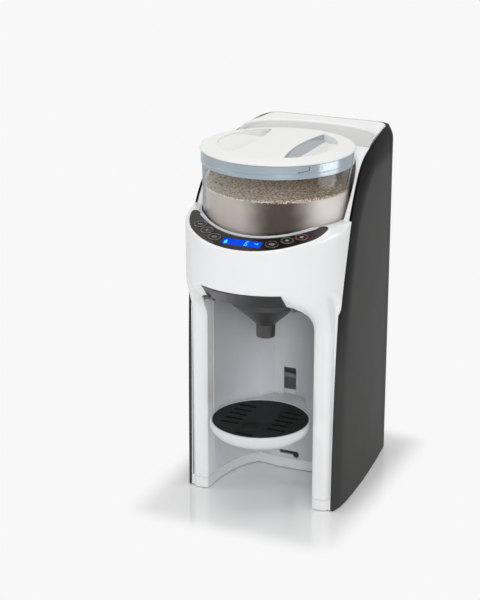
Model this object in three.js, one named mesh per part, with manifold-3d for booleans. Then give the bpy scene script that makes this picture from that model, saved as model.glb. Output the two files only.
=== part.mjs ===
// Countertop baby formula maker. Millimetres, +Z up, the front looks toward -Y.
// A white housing stands on two legs around an open bottle bay. The head above the bay
// carries a clear powder container with a twist lid. A funnel slides into the head over
// the bay, a drip tray hooks on the bay's back wall, and a water tank fills the rear.
import * as THREE from 'three';
import { mergeVertices } from 'three/addons/utils/BufferGeometryUtils.js';
import Module from 'manifold-3d';

const wasm = await Module();
wasm.setup();

// Driving sizes. The container axis is at x = 0, y = 0 while the pieces are made.
const fit = 0.3;
const wall = 2.6;
const faceRadius = 86;
const faceCentreY = -16.5;
const rearY = 151;
const sideDrawIn = 9.5;
const rearCornerLong = 29;
const rearCornerWide = 20.5;
const rearHalfWidth = faceRadius - sideDrawIn;
const rearCornerY = rearY - rearCornerLong;
const rearCornerX = rearHalfWidth - rearCornerWide;
const paintGap = 0.4;

const footHeight = 1;
const baseTop = 12.4;
const seamZ = baseTop + fit;
const panelWall = 3;
const panelRearY = rearY - 30;
const bevelWidth = 14;
const crownDrop = 4.5;
const lipTopZ = 369.5;
const overTopZ = lipTopZ + 50.5;

const legHalfWidth = 9.7;
const legInset = 19;
const legX = faceRadius - legInset;
const legFrontY = -44.5;
const strutFrontY = -41.5;
const overhangLow = 194;
const overhangHigh = 246;

const bayLegGap = 8;
const bayDrawIn = 23.5;
const bayHalfWidth = legX - bayLegGap;
const bayBackHalf = bayHalfWidth - bayDrawIn;
const bayBackY = 41;
const bayBow = 7;
const returnY = -28;
const archTopZ = 229;
const archRise = 26;
const archSpringZ = archTopZ - archRise;
const archShoulder = 15;
const archFlatHalf = bayHalfWidth - archShoulder;
const linerWall = 2.4;

const panelSlope = 0.29;
const panelFrontZ = 290.1;
const panelPlaneY = -100;
const panelThick = 1.8;
const crescentTipY = -47;
const deckFlatZ = 305;

const podInset = 10.2;
const podTaper = 1.2;
const podRadius = faceRadius - podInset;
const podFootRadius = podRadius - podTaper;
const podWall = 2.4;
const podBottomZ = 289;
const podHeight = 65.6;
const podTopZ = podBottomZ + podHeight;
const bandHeight = 13.3;
const bandStep = 1.2;
const bandBottomZ = podTopZ + fit;
const bandTopZ = bandBottomZ + bandHeight;
const bandRadius = podRadius + bandStep;
const wellGap = 0.6;
const seatWall = 1.6;
const seatDrop = 10;
const seatFloorZ = podBottomZ - seatDrop;
const powderDepth = 45;
const powderTopZ = podBottomZ + powderDepth;
const crescentRim = 2.4;
const crescentGap = 2.6;
const crescentOuter = faceRadius - crescentRim;
const crescentInner = podRadius + crescentGap;

const lidOverhang = 1;
const lidRim = 2.1;
const lidCrown = 3;
const lidRadius = bandRadius + lidOverhang;
const lidEdgeZ = bandTopZ + lidRim;
const lidCrownZ = lidEdgeZ + lidCrown;
const lidThick = 3.2;
const gripHalfWidth = 28.8;
const scoopRim = 18;
const scoopRadius = lidRadius - scoopRim;
const scoopDepth = 8;

const outletY = -38;
const outletRadius = 8;
const gearTeeth = 26;
const pinionTeeth = 16;
const gearModule = 2;
const gearDrop = 9;
const gearZ = seatFloorZ - gearDrop;
const gearThick = 5;
const shaftRadius = 4;

const spoutY = -27.6;
const spoutRadius = 9.6;
const funnelShare = 0.7119;
const funnelHalf = bayHalfWidth * funnelShare;
const funnelTopZ = 244.7;
const funnelDepth = 25.3;
const funnelFloorZ = funnelTopZ - funnelDepth;
const coneDrop = 29.4;
const spoutLength = 13;
const spoutTopZ = funnelFloorZ - coneDrop;
const spoutTipZ = spoutTopZ - spoutLength;
const soffitZ = funnelFloorZ - 0.4;
const funnelBackY = 14;
const tubInset = 34.5;
const tubFrontY = faceCentreY - faceRadius + tubInset;
const wingBack = 19.2;
const wingDrop = 13.5;
const funnelWall = 2;
const coneRim = 12;
const coneTopRadius = funnelHalf - coneRim;
const coverGap = 3.6;
const coverRadius = funnelHalf - coverGap;
const coverRimHeight = 11.8;
const coverHeight = 21.6;
const towerRim = 13.4;
const towerFoot = coverRadius - towerRim;
const towerHole = 0.6 * towerFoot;

const trayGap = 6.8;
const trayRadius = bayHalfWidth - trayGap;
const trayBackGap = 25.4;
const trayY = bayBackY - bayBow / 2 - trayRadius - trayBackGap;
const trayTopZ = 90.3;
const trayDepth = 17.5;
const trayWall = 2.2;
const grateThick = 2.4;
const grateDepth = 0.6;
const grateGap = 0.5;
const hookHalf = 15;
const channelHalf = 18.5;
const slotHalf = 7;
const slotLowZ = 30;
const slotHighZ = 118;

const tankFrontY = 86.5;
const tankBottomZ = 64;
const tankDrop = 18.5;
const tankTopZ = lipTopZ - tankDrop;
const tankWall = 2.2;
const tankInset = 7.6;
const topSeamY = 62;
const seamGap = 6.2;
const seamRadius = podRadius + seamGap;
const lidInset = 5.6;

// Each button: its angle from straight ahead, in degrees, and how far it lies inside the face.
const buttonSpots = [[24.1, 11.3], [36, 13.2], [47, 12.2]];
const buttonLong = 7.2;
const buttonShort = 5.4;
const lcdHalfWidth = 20.6;
const lcdHalfDepth = 5.4;
const lcdInset = 14.6;
const lcdY = faceCentreY - faceRadius + lcdInset;

// Facets round a full turn, from the widest pieces to the smallest.
const round = 36;
const medium = 20;
const small = 12;
const tiny = 8;
const plumpArc = 14;

// Solids: closed meshes with merged corners, faces outward.
function solid(geometry) {
  const bare = new THREE.BufferGeometry();
  bare.setAttribute('position', geometry.getAttribute('position'));
  if (geometry.index) bare.setIndex(geometry.index);
  const merged = mergeVertices(bare, 1e-4);
  const place = merged.getAttribute('position').array;
  const corner = (i) => new THREE.Vector3(place[3 * i], place[3 * i + 1], place[3 * i + 2]);
  const kept = [];
  let volume = 0;
  for (let i = 0; i < merged.index.count; i += 3) {
    const [a, b, c] = [0, 1, 2].map((k) => merged.index.getX(i + k));
    if (a === b || b === c || c === a) continue;
    kept.push(a, b, c);
    volume += corner(a).dot(corner(b).cross(corner(c)));
  }
  if (volume < 0) kept.reverse();
  return new wasm.Manifold(new wasm.Mesh({
    numProp: 3,
    vertProperties: new Float32Array(place),
    triVerts: new Uint32Array(kept),
  }));
}

function geometryOf(body) {
  const mesh = body.getMesh();
  const geometry = new THREE.BufferGeometry();
  geometry.setAttribute('position', new THREE.BufferAttribute(new Float32Array(mesh.vertProperties), 3));
  geometry.setIndex(new THREE.BufferAttribute(new Uint32Array(mesh.triVerts), 1));
  geometry.computeVertexNormals();
  return geometry;
}

const join = (first, ...others) => others.reduce((sum, next) => sum.add(next), first);
const cut = (first, ...others) => others.reduce((rest, next) => rest.subtract(next), first);

// An outline in plan, raised from one height to another.
function raise(shape, low, high, segments = 10) {
  const geometry = new THREE.ExtrudeGeometry(shape, {
    depth: high - low, bevelEnabled: false, curveSegments: segments,
  });
  return solid(geometry.translate(0, 0, low));
}

// An outline in (y, z), drawn out along X.
function across(shape, left, right, segments = 6) {
  const geometry = new THREE.ExtrudeGeometry(shape, {
    depth: right - left, bevelEnabled: false, curveSegments: segments,
  });
  const turn = new THREE.Matrix4().makeBasis(
    new THREE.Vector3(0, 1, 0), new THREE.Vector3(0, 0, 1), new THREE.Vector3(1, 0, 0));
  return solid(geometry.applyMatrix4(turn).translate(left, 0, 0));
}

// An outline in (x, z), drawn out along Y.
function along(shape, front, back, segments = 6) {
  const geometry = new THREE.ExtrudeGeometry(shape, {
    depth: back - front, bevelEnabled: false, curveSegments: segments,
  });
  return solid(geometry.rotateX(Math.PI / 2).translate(0, back, 0));
}

// A profile of [radius, height] turned about an upright axis.
function turn(profile, x = 0, y = 0, segments = medium) {
  const points = profile.map(([r, z]) => new THREE.Vector2(r, z));
  const geometry = new THREE.LatheGeometry(points, segments);
  return solid(geometry.rotateX(Math.PI / 2).translate(x, y, 0));
}

function disc(radius, low, high, x = 0, y = 0, segments = medium) {
  return turn([[0, low], [radius, low], [radius, high], [0, high]], x, y, segments);
}

function ring(outer, inner, low, high, x = 0, y = 0, segments = medium) {
  return turn([[inner, low], [outer, low], [outer, high], [inner, high], [inner, low]], x, y, segments);
}

function block(x0, x1, y0, y1, z0, z1) {
  const geometry = new THREE.BoxGeometry(x1 - x0, y1 - y0, z1 - z0);
  return solid(geometry.translate((x0 + x1) / 2, (y0 + y1) / 2, (z0 + z1) / 2));
}

function polygon(points) {
  const shape = new THREE.Shape();
  points.forEach(([u, v], i) => (i ? shape.lineTo(u, v) : shape.moveTo(u, v)));
  return shape;
}

function ovalShape(halfLong, halfShort) {
  const shape = new THREE.Shape();
  shape.absellipse(0, 0, halfLong, halfShort, 0, 2 * Math.PI, false, 0);
  return shape;
}

function pipe(points, radius, sides = 4, steps = 16) {
  const path = new THREE.CatmullRomCurve3(points.map((p) => new THREE.Vector3(...p)));
  const section = new THREE.Shape();
  section.absarc(0, 0, radius, 0, 2 * Math.PI, false);
  const geometry = new THREE.ExtrudeGeometry(section, {
    steps, extrudePath: path, curveSegments: sides, bevelEnabled: false,
  });
  return solid(geometry);
}

// Rings with equal point counts, skinned one to the next, with flat ends.
function loft(rings, flatten) {
  const count = rings[0].length;
  const place = rings.flat().flatMap((p) => [p.x, p.y, p.z]);
  const faces = [];
  for (let i = 0; i + 1 < rings.length; i++) {
    for (let j = 0; j < count; j++) {
      const a = i * count + j;
      const b = i * count + ((j + 1) % count);
      faces.push(a, b, b + count, a, b + count, a + count);
    }
  }
  const last = (rings.length - 1) * count;
  const cap = (points) => THREE.ShapeUtils.triangulateShape(points.map(flatten), []);
  const lowFlip = THREE.ShapeUtils.area(rings[0].map(flatten)) > 0;
  for (const [a, b, c] of cap(rings[0])) faces.push(...(lowFlip ? [a, c, b] : [a, b, c]));
  for (const [a, b, c] of cap(rings[rings.length - 1])) {
    faces.push(...(lowFlip ? [last + a, last + b, last + c] : [last + a, last + c, last + b]));
  }
  const geometry = new THREE.BufferGeometry();
  geometry.setAttribute('position', new THREE.Float32BufferAttribute(place, 3));
  geometry.setIndex(faces);
  return solid(geometry);
}

const fromAbove = (p) => new THREE.Vector2(p.x, p.y);

// Body outline in plan: a round bulging front, long sides that draw in, rounded rear corners.
function bodyPlan(inset = 0) {
  const radius = faceRadius - inset;
  const side = rearHalfWidth - inset;
  const back = rearY - inset;
  const corner = rearCornerX - inset / 2;
  const shape = new THREE.Shape();
  shape.absarc(0, faceCentreY, radius, Math.PI, 2 * Math.PI, false);
  shape.bezierCurveTo(radius, faceCentreY + 56, side + 4, rearCornerY - 32, side, rearCornerY);
  shape.bezierCurveTo(side - 0.7, rearCornerY + 12, side - 3, back, corner, back);
  shape.lineTo(-corner, back);
  shape.bezierCurveTo(3 - side, back, 0.7 - side, rearCornerY + 12, -side, rearCornerY);
  shape.bezierCurveTo(-side - 4, rearCornerY - 32, -radius, faceCentreY + 56, -radius, faceCentreY);
  return shape;
}

const sideTrace = bodyPlan().getPoints(40).filter((p) => p.x > rearCornerX - 20 && p.y < rearY);

// Half the body's width at a depth y.
function planHalf(y) {
  if (y <= faceCentreY) return Math.sqrt(faceRadius ** 2 - (y - faceCentreY) ** 2);
  for (let i = 1; i < sideTrace.length; i++) {
    const [a, b] = [sideTrace[i - 1], sideTrace[i]];
    if (a.y <= y && y <= b.y) return a.x + ((b.x - a.x) * (y - a.y)) / (b.y - a.y);
  }
  return rearHalfWidth;
}

// The edge where the dark side cladding meets the white housing, seen from the side (y, z).
const cladEdge = new THREE.CurvePath();
const edgeKnots = [
  [[strutFrontY, 0], [-40.5, 110], [-37, 185], [-33, 222]],
  [[-33, 222], [-29, 250], [-22, 283], [-14, deckFlatZ]],
  [[-14, deckFlatZ], [-9, deckFlatZ + 9], [0, deckFlatZ + 23], [12, lipTopZ - 30.5]],
  [[12, lipTopZ - 30.5], [22, lipTopZ - 21.5], [36, lipTopZ - 14], [55, lipTopZ - 9.5]],
  [[55, lipTopZ - 9.5], [85, lipTopZ - 3.5], [110, lipTopZ - 1.9], [panelRearY, lipTopZ - 1.2]],
];
for (const knots of edgeKnots) {
  cladEdge.add(new THREE.CubicBezierCurve(...knots.map(([y, z]) => new THREE.Vector2(y, z))));
}

// Height of the white housing's top surface, seen from the side.
const panelZ = (y) => panelFrontZ + panelSlope * (y - panelPlaneY);
function crownShape(rise) {
  const shape = new THREE.Shape();
  const front = -130;
  const ridgeFront = panelPlaneY + (deckFlatZ - panelFrontZ) / panelSlope;
  shape.moveTo(front, -20);
  shape.lineTo(front, panelZ(front) + rise);
  shape.lineTo(ridgeFront, deckFlatZ + rise);
  for (const [start, low, high, end] of edgeKnots.slice(2)) {
    shape.lineTo(start[0], start[1] + rise);
    shape.bezierCurveTo(low[0], low[1] + rise, high[0], high[1] + rise, end[0], end[1] + rise);
  }
  shape.lineTo(rearY + 30, lipTopZ + rise);
  shape.lineTo(rearY + 30, -20);
  return shape;
}

// One side panel as a skinned strip: each ring runs from the bevelled edge to the rear seam.
// A grown panel is the room that the panel takes in what lies under it.
function cladding(side, grow = 0) {
  const steps = 17;
  const spans = 4;
  const endStrip = 10;
  const rings = [];
  for (let i = 0; i <= steps; i++) {
    const share = i / steps;
    const at = cladEdge.getPoint(share);
    const tangent = cladEdge.getTangent(share);
    const inward = i === 0 ? new THREE.Vector2(1, 0) : new THREE.Vector2(tangent.y, -tangent.x);
    const low = footHeight - (grow ? 6 : 0);
    const top = edgeKnots[4][3][1];
    const endTop = top - bevelWidth - endStrip;
    const seam = new THREE.Vector2(panelRearY, low + (endTop - low) * share ** 1.6);
    if (i === 0) at.y = low;
    if (i === steps) inward.set(0, -1);
    const crown = THREE.MathUtils.smoothstep(at.x, strutFrontY + 20, 45);
    const drop = THREE.MathUtils.lerp(0.6, crownDrop, crown);
    const thick = THREE.MathUtils.lerp(2.4, 0.8, crown);
    const start = at.clone().addScaledVector(inward, -grow);
    const bevel = at.clone().addScaledVector(inward, bevelWidth);
    const half = (y) => planHalf(Math.min(y, panelRearY));
    const point = (p, x) => new THREE.Vector3(side * x, p.x, p.y);
    const spread = grow ? 12 : 0;
    const outer = [point(start, half(at.x) - drop + spread)];
    const inner = [point(start, half(at.x) - drop - thick - grow)];
    for (let k = 0; k <= spans; k++) {
      const p = bevel.clone().lerp(seam, k / spans);
      outer.push(point(p, half(p.x) + spread));
      inner.push(point(p, half(p.x) - panelWall - grow));
    }
    if (grow) {
      const past = new THREE.Vector2(panelRearY + 60, seam.y);
      outer.push(point(past, half(panelRearY) + spread));
      inner.push(point(past, half(panelRearY) - panelWall - grow));
    }
    rings.push([...outer, ...inner.reverse()]);
  }
  return loft(rings, (p) => new THREE.Vector2(p.y - p.z, p.x));
}

// What lies in front of the legs and under the head: its back face is the legs' rounded
// front, sweeping forward into the bulge of the head.
function legFront(x) {
  const offset = Math.abs(Math.abs(x) - legX) / legHalfWidth;
  if (offset < 1) return legFrontY + 4.2 * offset ** 3;
  return Math.abs(x) > legX ? strutFrontY : legFrontY + 4.2;
}

function headFront(x) {
  const reach = Math.min(Math.abs(x), faceRadius - 0.5);
  return faceCentreY - Math.sqrt(faceRadius ** 2 - reach ** 2);
}

function underHead(back = 0, levels = 6, legSteps = 4) {
  const rings = [];
  const columns = [];
  for (let x = 0; x < legX - legHalfWidth - 6; x += 12) columns.push(x);
  for (let k = -legSteps; k <= legSteps; k++) columns.push(legX + (legHalfWidth * k) / legSteps);
  columns.push(legX + legHalfWidth + 1.2, faceRadius - 4, faceRadius - 1, faceRadius + 6);
  const line = [...columns.slice(1).reverse().map((x) => -x), ...columns];
  for (let i = -1; i <= levels; i++) {
    const share = Math.max(i, 0) / levels;
    const z = i < 0 ? -20 : overhangLow + (overhangHigh - overhangLow) * share;
    const blend = THREE.MathUtils.smoothstep(share, 0, 1);
    const front = line.map((x) => {
      const y = THREE.MathUtils.lerp(legFront(x), headFront(x) - 0.5, blend);
      return new THREE.Vector3(x, y + back, z);
    });
    const past = faceRadius + 6;
    rings.push([new THREE.Vector3(-past, -140, z), new THREE.Vector3(past, -140, z), ...front.reverse()]);
  }
  return loft(rings, fromAbove);
}

// The bottle bay in plan, opened out by the given amount.
function bayShape(grow = 0) {
  const half = bayHalfWidth + grow;
  const back = bayBackHalf + grow;
  const y = bayBackY + grow;
  const shape = new THREE.Shape();
  shape.moveTo(-half, -130);
  shape.lineTo(half, -130);
  shape.lineTo(half, strutFrontY);
  shape.bezierCurveTo(half - 1, -5, half - 4.5, bayBackY - 17, back, y);
  shape.quadraticCurveTo(0, y - bayBow, -back, y);
  shape.bezierCurveTo(4.5 - half, bayBackY - 17, 1 - half, -5, -half, strutFrontY);
  return shape;
}

// The bay's bowed back wall at a distance x from the middle.
const bayBackAt = (x) => bayBackY - (bayBow / 2) * (1 - (x / bayBackHalf) ** 2);

function archShape() {
  const shape = new THREE.Shape();
  shape.moveTo(-bayHalfWidth, -20);
  shape.lineTo(bayHalfWidth, -20);
  shape.lineTo(bayHalfWidth, archSpringZ);
  const shoulderX = bayHalfWidth - 7;
  const shoulderZ = archSpringZ + 16;
  shape.bezierCurveTo(bayHalfWidth, shoulderZ, shoulderX, archTopZ, archFlatHalf, archTopZ);
  shape.lineTo(-archFlatHalf, archTopZ);
  shape.bezierCurveTo(-shoulderX, archTopZ, -bayHalfWidth, shoulderZ, -bayHalfWidth, archSpringZ);
  return shape;
}

const machine = new THREE.Group();
machine.position.y = -(rearY + faceCentreY - faceRadius) / 2;

function piece(name, colour, roughness, metalness, body, extra = {}) {
  const material = new THREE.MeshStandardMaterial({ color: colour, roughness, metalness, ...extra });
  const mesh = new THREE.Mesh(geometryOf(body), material);
  mesh.name = name;
  machine.add(mesh);
  return body;
}

const white = '#edeff1';
const warmWhite = '#e3e2dc';
const charcoal = '#4a4a49';
const smoke = '#4a4a4a';

// Shared rooms and cutters.
const left = -1;
const right = 1;
const wellRadius = podRadius + wellGap + seatWall + fit;
const wellWallRadius = wellRadius + wall;
const pocketTop = funnelTopZ + wellGap;
const pocketHalf = funnelHalf + wellGap;
const frontCut = underHead();

function hollow(clear = 0) {
  const skin = paintGap + wall + clear;
  const under = across(crownShape(-wall - clear), -100, 100, 3);
  const bayHalf = bayHalfWidth + wall + clear;
  return cut(
    raise(bodyPlan(skin), seamZ - 30, lipTopZ + 20, 6).intersect(under),
    cladding(left, fit + wall + clear),
    cladding(right, fit + wall + clear),
    underHead(wall + clear + 0.6, 4, 2),
    block(-bayHalf, bayHalf, -140, returnY + clear, -20, soffitZ - 4),
    disc(wellWallRadius + clear, seatFloorZ - wall - fit - clear, lipTopZ + 30, 0, 0, round),
  );
}

// White housing: head, legs, shoulders and side walls in one moulding.
const bayCut = raise(bayShape(linerWall + fit), -20, soffitZ + 4).intersect(
  block(-100, 100, returnY, 100, -20, soffitZ + 4));
const tiltedRoom = (low, high) => across(polygon([
  [-140, panelZ(-140) + low], [0, panelZ(0) + low], [0, panelZ(0) + high], [-140, panelZ(-140) + high],
]), -100, 100);
const panelReach = 50;
const crescentPlan = (outer, inner, tip) => cut(
  disc(outer, panelFrontZ - panelReach, panelFrontZ + panelReach, 0, faceCentreY, round),
  disc(inner, panelFrontZ - 2 * panelReach, overTopZ, 0, 0, round),
  block(-120, 120, tip, 120, panelFrontZ - 2 * panelReach, overTopZ));
const tankRoom = cut(
  block(-120, 120, topSeamY, rearY + 20, tankTopZ + fit, overTopZ),
  disc(seamRadius, soffitZ, overTopZ, 0, 0, round));
const upright = (x, y, shape) => (
  raise(shape, panelFrontZ - panelReach, panelFrontZ + panelReach).translate(x, y, 0));

const controls = [];
for (const side of [left, right]) {
  buttonSpots.forEach(([degrees, inset], i) => {
    const angle = THREE.MathUtils.degToRad(degrees);
    const reach = faceRadius - inset;
    const x = side * reach * Math.sin(angle);
    controls.push({ side, index: i + 1, x, y: faceCentreY - reach * Math.cos(angle) });
  });
}
const ovalHoles = (grow) => join(...controls.map(({ x, y }) => (
  upright(x, y, ovalShape(buttonLong + grow, buttonShort + grow)))));
const lcdShape = (grow) => polygon([
  [-lcdHalfWidth - grow, -lcdHalfDepth - grow], [lcdHalfWidth + grow, -lcdHalfDepth - grow],
  [lcdHalfWidth + grow, lcdHalfDepth + grow], [-lcdHalfWidth - grow, lcdHalfDepth + grow]]);

const frontShell = cut(
  raise(bodyPlan(paintGap), seamZ, overTopZ, plumpArc).intersect(across(crownShape(0.6), -100, 100)),
  cladding(left, fit),
  cladding(right, fit),
  block(-120, 120, panelRearY - 3, 200, -20, overTopZ),
  frontCut,
  along(archShape(), -140, returnY),
  block(-pocketHalf, pocketHalf, -140, returnY, 180, pocketTop),
  bayCut,
  disc(wellRadius, seatFloorZ - fit, overTopZ, 0, 0, round),
  disc(wellRadius - 8, seatFloorZ - wall - 20, overTopZ),
  hollow(),
  tankRoom,
  crescentPlan(crescentOuter + fit, crescentInner - fit, crescentTipY + fit).intersect(
    tiltedRoom(-panelThick - fit, 20)),
  ovalHoles(0.6),
  upright(0, lcdY, lcdShape(fit)),
);
piece('front_shell', white, 0.32, 0, frontShell);

// Bay liner: one U-shaped wall behind the legs, with the tray channel and its two slots.
const rectangle = (x0, x1, z0, z1) => polygon([[x0, z0], [x1, z0], [x1, z1], [x0, z1]]);
const channelShape = rectangle(-channelHalf, channelHalf, 20, 150);
const hookSlot = join(
  along(rectangle(-11, 8, 17.4, 21), 20, 60),
  along(ovalShape(3.6, 3.6), 20, 60).translate(8, 0, 17.6));
const liner = cut(
  cut(raise(bayShape(linerWall), seamZ, soffitZ - fit), raise(bayShape(0), 0, 300)),
  block(-100, 100, -140, returnY + fit, -20, 400),
  along(channelShape, 20, bayBackY - bayBow / 2 + 1.2),
  along(rectangle(-slotHalf, slotHalf, slotLowZ, slotHighZ), 20, 60),
  hookSlot,
);
piece('bay_liner', white, 0.38, 0, liner);

// Base: U-shaped tray under the legs and the rear, closed below, with foot sockets.
const rearFootX = rearHalfWidth - 24.5;
const rearFootY = rearY - 27;
const rearScrewY = rearY - 19;
const footSpots = [[-legX - 1, -30], [legX + 1, -30], [-rearFootX, rearFootY], [rearFootX, rearFootY]];
const screwSpots = [[-legX - 3, 10], [legX + 3, 10], [-30, rearScrewY], [30, rearScrewY]];
const trayFloorZ = footHeight + 3.6;
const footRadius = 6.5;
const footSocket = 1.8;
const screwHead = 3;
const base = cut(
  raise(bodyPlan(paintGap), footHeight, baseTop, plumpArc),
  cladding(left, fit),
  cladding(right, fit),
  cut(block(-120, 120, panelRearY - 3, 200, -20, 60), raise(bodyPlan(panelWall + fit), -30, 70)),
  frontCut,
  raise(bayShape(0), -20, 60),
  cut(
    hollow().intersect(block(-100, 100, -100, rearY - panelWall - 3, trayFloorZ, baseTop + 5)),
    raise(bayShape(wall), -20, 60)),
  ...footSpots.map(([x, y]) => disc(footRadius + fit, -5, footHeight + footSocket, x, y, small)),
  ...screwSpots.map(([x, y]) => disc(screwHead + 0.4, -5, footHeight + 2, x, y, tiny)),
);
piece('base_tray', white, 0.38, 0, base);

const footNames = ['front_left', 'front_right', 'rear_left', 'rear_right'];
footSpots.forEach(([x, y], i) => {
  const foot = turn([
    [0, 0], [footRadius - 1, 0], [footRadius, 0.5], [footRadius, footHeight + footSocket - fit],
    [0, footHeight + footSocket - fit],
  ], x, y, small);
  piece(`foot_${footNames[i]}`, '#2a2a2a', 0.85, 0, foot);
});
screwSpots.forEach(([x, y], i) => {
  const head = disc(screwHead, footHeight + 0.4, footHeight + 2 - fit, x, y, tiny);
  const slot = block(x - 2.2, x + 2.2, y - 0.4, y + 0.4, -5, footHeight + 0.9);
  piece(`base_screw_${i + 1}`, '#9a9ca0', 0.35, 0.9, cut(head, slot));
});

// Dark cladding: two side panels and the rear shell with its water-level window.
piece('side_panel_left', charcoal, 0.5, 0, cladding(left));
piece('side_panel_right', charcoal, 0.5, 0, cladding(right));

const planRing = (inset, z) => {
  const points = bodyPlan(inset).getPoints(8).slice(0, -1);
  return points.map((p) => new THREE.Vector3(p.x, p.y, z));
};
const bevelZ = edgeKnots[4][3][1] - bevelWidth;
const rearTopZ = edgeKnots[4][3][1];
const windowHalf = 24;
const windowLowZ = 92;
const windowHighZ = 318;
const inletX = 44;
const inletZ = 30;
const inletHalfWidth = 13;
const inletHalfHeight = 9;
const windowShape = new THREE.Shape();
windowShape.moveTo(-windowHalf, windowLowZ + windowHalf);
windowShape.absarc(0, windowLowZ + windowHalf, windowHalf, Math.PI, 2 * Math.PI, false);
windowShape.lineTo(windowHalf, windowHighZ - windowHalf);
windowShape.absarc(0, windowHighZ - windowHalf, windowHalf, 0, Math.PI, false);
const vents = [];
for (let i = 0; i < 5; i++) vents.push(block(-58, -30, 140, 160, 22 + 6 * i, 25 + 6 * i));
const rearShell = cut(
  loft([planRing(0, footHeight), planRing(0, bevelZ), planRing(crownDrop, rearTopZ)], fromAbove),
  loft([
    planRing(panelWall, -20), planRing(panelWall, bevelZ), planRing(crownDrop + 0.8, rearTopZ),
    planRing(crownDrop + 0.8, rearTopZ + 20)], fromAbove),
  block(-120, 120, -140, panelRearY + fit, -40, 400),
  along(windowShape, 140, 160),
  along(rectangle(
    inletX - inletHalfWidth - fit, inletX + inletHalfWidth + fit,
    inletZ - inletHalfHeight - fit, inletZ + inletHalfHeight + fit), 130, 160),
  ...vents,
);
piece('rear_shell', charcoal, 0.5, 0, rearShell);

const inlet = join(
  cut(
    block(inletX - inletHalfWidth, inletX + inletHalfWidth, 130, rearY - 1, inletZ - inletHalfHeight,
      inletZ + inletHalfHeight),
    block(inletX - 10, inletX + 10, 134, rearY + 5, inletZ - 5.5, inletZ + 5.5)),
  block(inletX - 5, inletX - 2.6, 133, rearY - 5, inletZ - 1.2, inletZ + 1.2),
  block(inletX + 2.6, inletX + 5, 133, rearY - 5, inletZ - 1.2, inletZ + 1.2));
piece('power_inlet', '#1b1b1c', 0.6, 0, inlet);

// Inner chassis: bulkhead ahead of the tank, shelf under it, and a valve seat.
const tankShape = (inset) => raise(bodyPlan(inset), tankBottomZ, tankTopZ).intersect(
  block(-100, 100, tankFrontY + inset - tankInset, 200, 0, 400));
const bulkheadY = tankFrontY - 4;
const bulkheadHalf = rearHalfWidth - 5.5;
const ribX = rearHalfWidth - 12.5;
const ribBackY = rearY - 17;
const hoseRadius = 3;
const hoseLevelZ = 38;
const shelfZ = tankBottomZ - 4;
const valveY = 116;
const chassis = cut(
  join(
    block(-bulkheadHalf, bulkheadHalf, bulkheadY, bulkheadY + 2, trayFloorZ + fit, tankTopZ - 8),
    raise(bodyPlan(tankInset), shelfZ, shelfZ + 3).intersect(
      block(-100, 100, bulkheadY + 1, 200, 0, 400)),
    block(-ribX - 2, -ribX, bulkheadY + 1, ribBackY, trayFloorZ + fit, shelfZ + 1),
    block(ribX, ribX + 2, bulkheadY + 1, ribBackY, trayFloorZ + fit, shelfZ + 1)),
  disc(9, 0, 200, 0, valveY, small),
  along(ovalShape(hoseRadius + 1, hoseRadius + 1), bulkheadY - 5, bulkheadY + 5).translate(0, 0, hoseLevelZ),
);
piece('chassis', '#c9cbcd', 0.6, 0, chassis);

// Water tank with its filling mouth open under the lid, and the valve it stands on.
const tankSkin = cut(
  tankShape(tankInset),
  tankShape(tankInset + tankWall).intersect(
    block(-100, 100, 0, 200, tankBottomZ + tankWall, 400)).translate(0, 0, 2),
  raise(bodyPlan(tankInset + tankWall), tankTopZ - 20, tankTopZ + 10).intersect(
    block(-100, 100, tankFrontY + tankWall, 200, 0, 400)),
  disc(6, 0, 100, 0, valveY, small),
);
piece('water_tank', smoke, 0.12, 0, tankSkin, { transparent: true, opacity: 0.45 });
const valve = join(
  disc(6 - fit, tankBottomZ - 6, tankBottomZ + 9, 0, valveY, small),
  disc(8.4, tankBottomZ - 6, tankBottomZ - fit, 0, valveY, small));
piece('tank_valve', '#7d868c', 0.5, 0, valve);

// White tank lid: the machine's rear deck, a shallow basin behind a rounded lip.
const deckUnderZ = tankTopZ + 2 * fit;
const lipShape = new THREE.Shape();
const lipFrontY = topSeamY - 10;
lipShape.moveTo(lipFrontY, deckUnderZ);
lipShape.lineTo(lipFrontY, lipTopZ - 10.5);
lipShape.bezierCurveTo(
  lipFrontY + 12, lipTopZ - 8, lipFrontY + 22, lipTopZ - 0.9, lipFrontY + 44, lipTopZ);
lipShape.lineTo(rearY + 10, lipTopZ);
lipShape.lineTo(rearY + 10, deckUnderZ);
const basinFloor = new THREE.Shape();
basinFloor.moveTo(0, overTopZ);
basinFloor.lineTo(0, lipTopZ - 17.5);
basinFloor.lineTo(lipFrontY, lipTopZ - 11.1);
basinFloor.bezierCurveTo(
  lipFrontY + 16, lipTopZ - 7.5, lipFrontY + 32, lipTopZ - 5.1, lipFrontY + 52, lipTopZ - 4.3);
basinFloor.lineTo(200, lipTopZ - 3.9);
basinFloor.lineTo(200, overTopZ);
const basinHalf = rearHalfWidth - 3.5;
const basinSideY = panelRearY - 41;
const basinShape = new THREE.Shape();
basinShape.moveTo(-basinHalf, 20);
basinShape.lineTo(basinHalf, 20);
basinShape.lineTo(basinHalf, basinSideY);
basinShape.bezierCurveTo(basinHalf - 0.4, basinSideY + 26, 40, panelRearY, 0, panelRearY);
basinShape.bezierCurveTo(-40, panelRearY, 0.4 - basinHalf, basinSideY + 26, -basinHalf, basinSideY);
const deckPlan = cut(
  loft([
    planRing(lidInset + 0.2, deckUnderZ - 4), planRing(lidInset, lipTopZ - 5.5),
    planRing(lidInset + 1.6, lipTopZ + 0.3)], fromAbove),
  block(-120, 120, -140, topSeamY + fit, 0, overTopZ),
  disc(seamRadius + fit, soffitZ, overTopZ, 0, 0, round),
);
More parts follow.
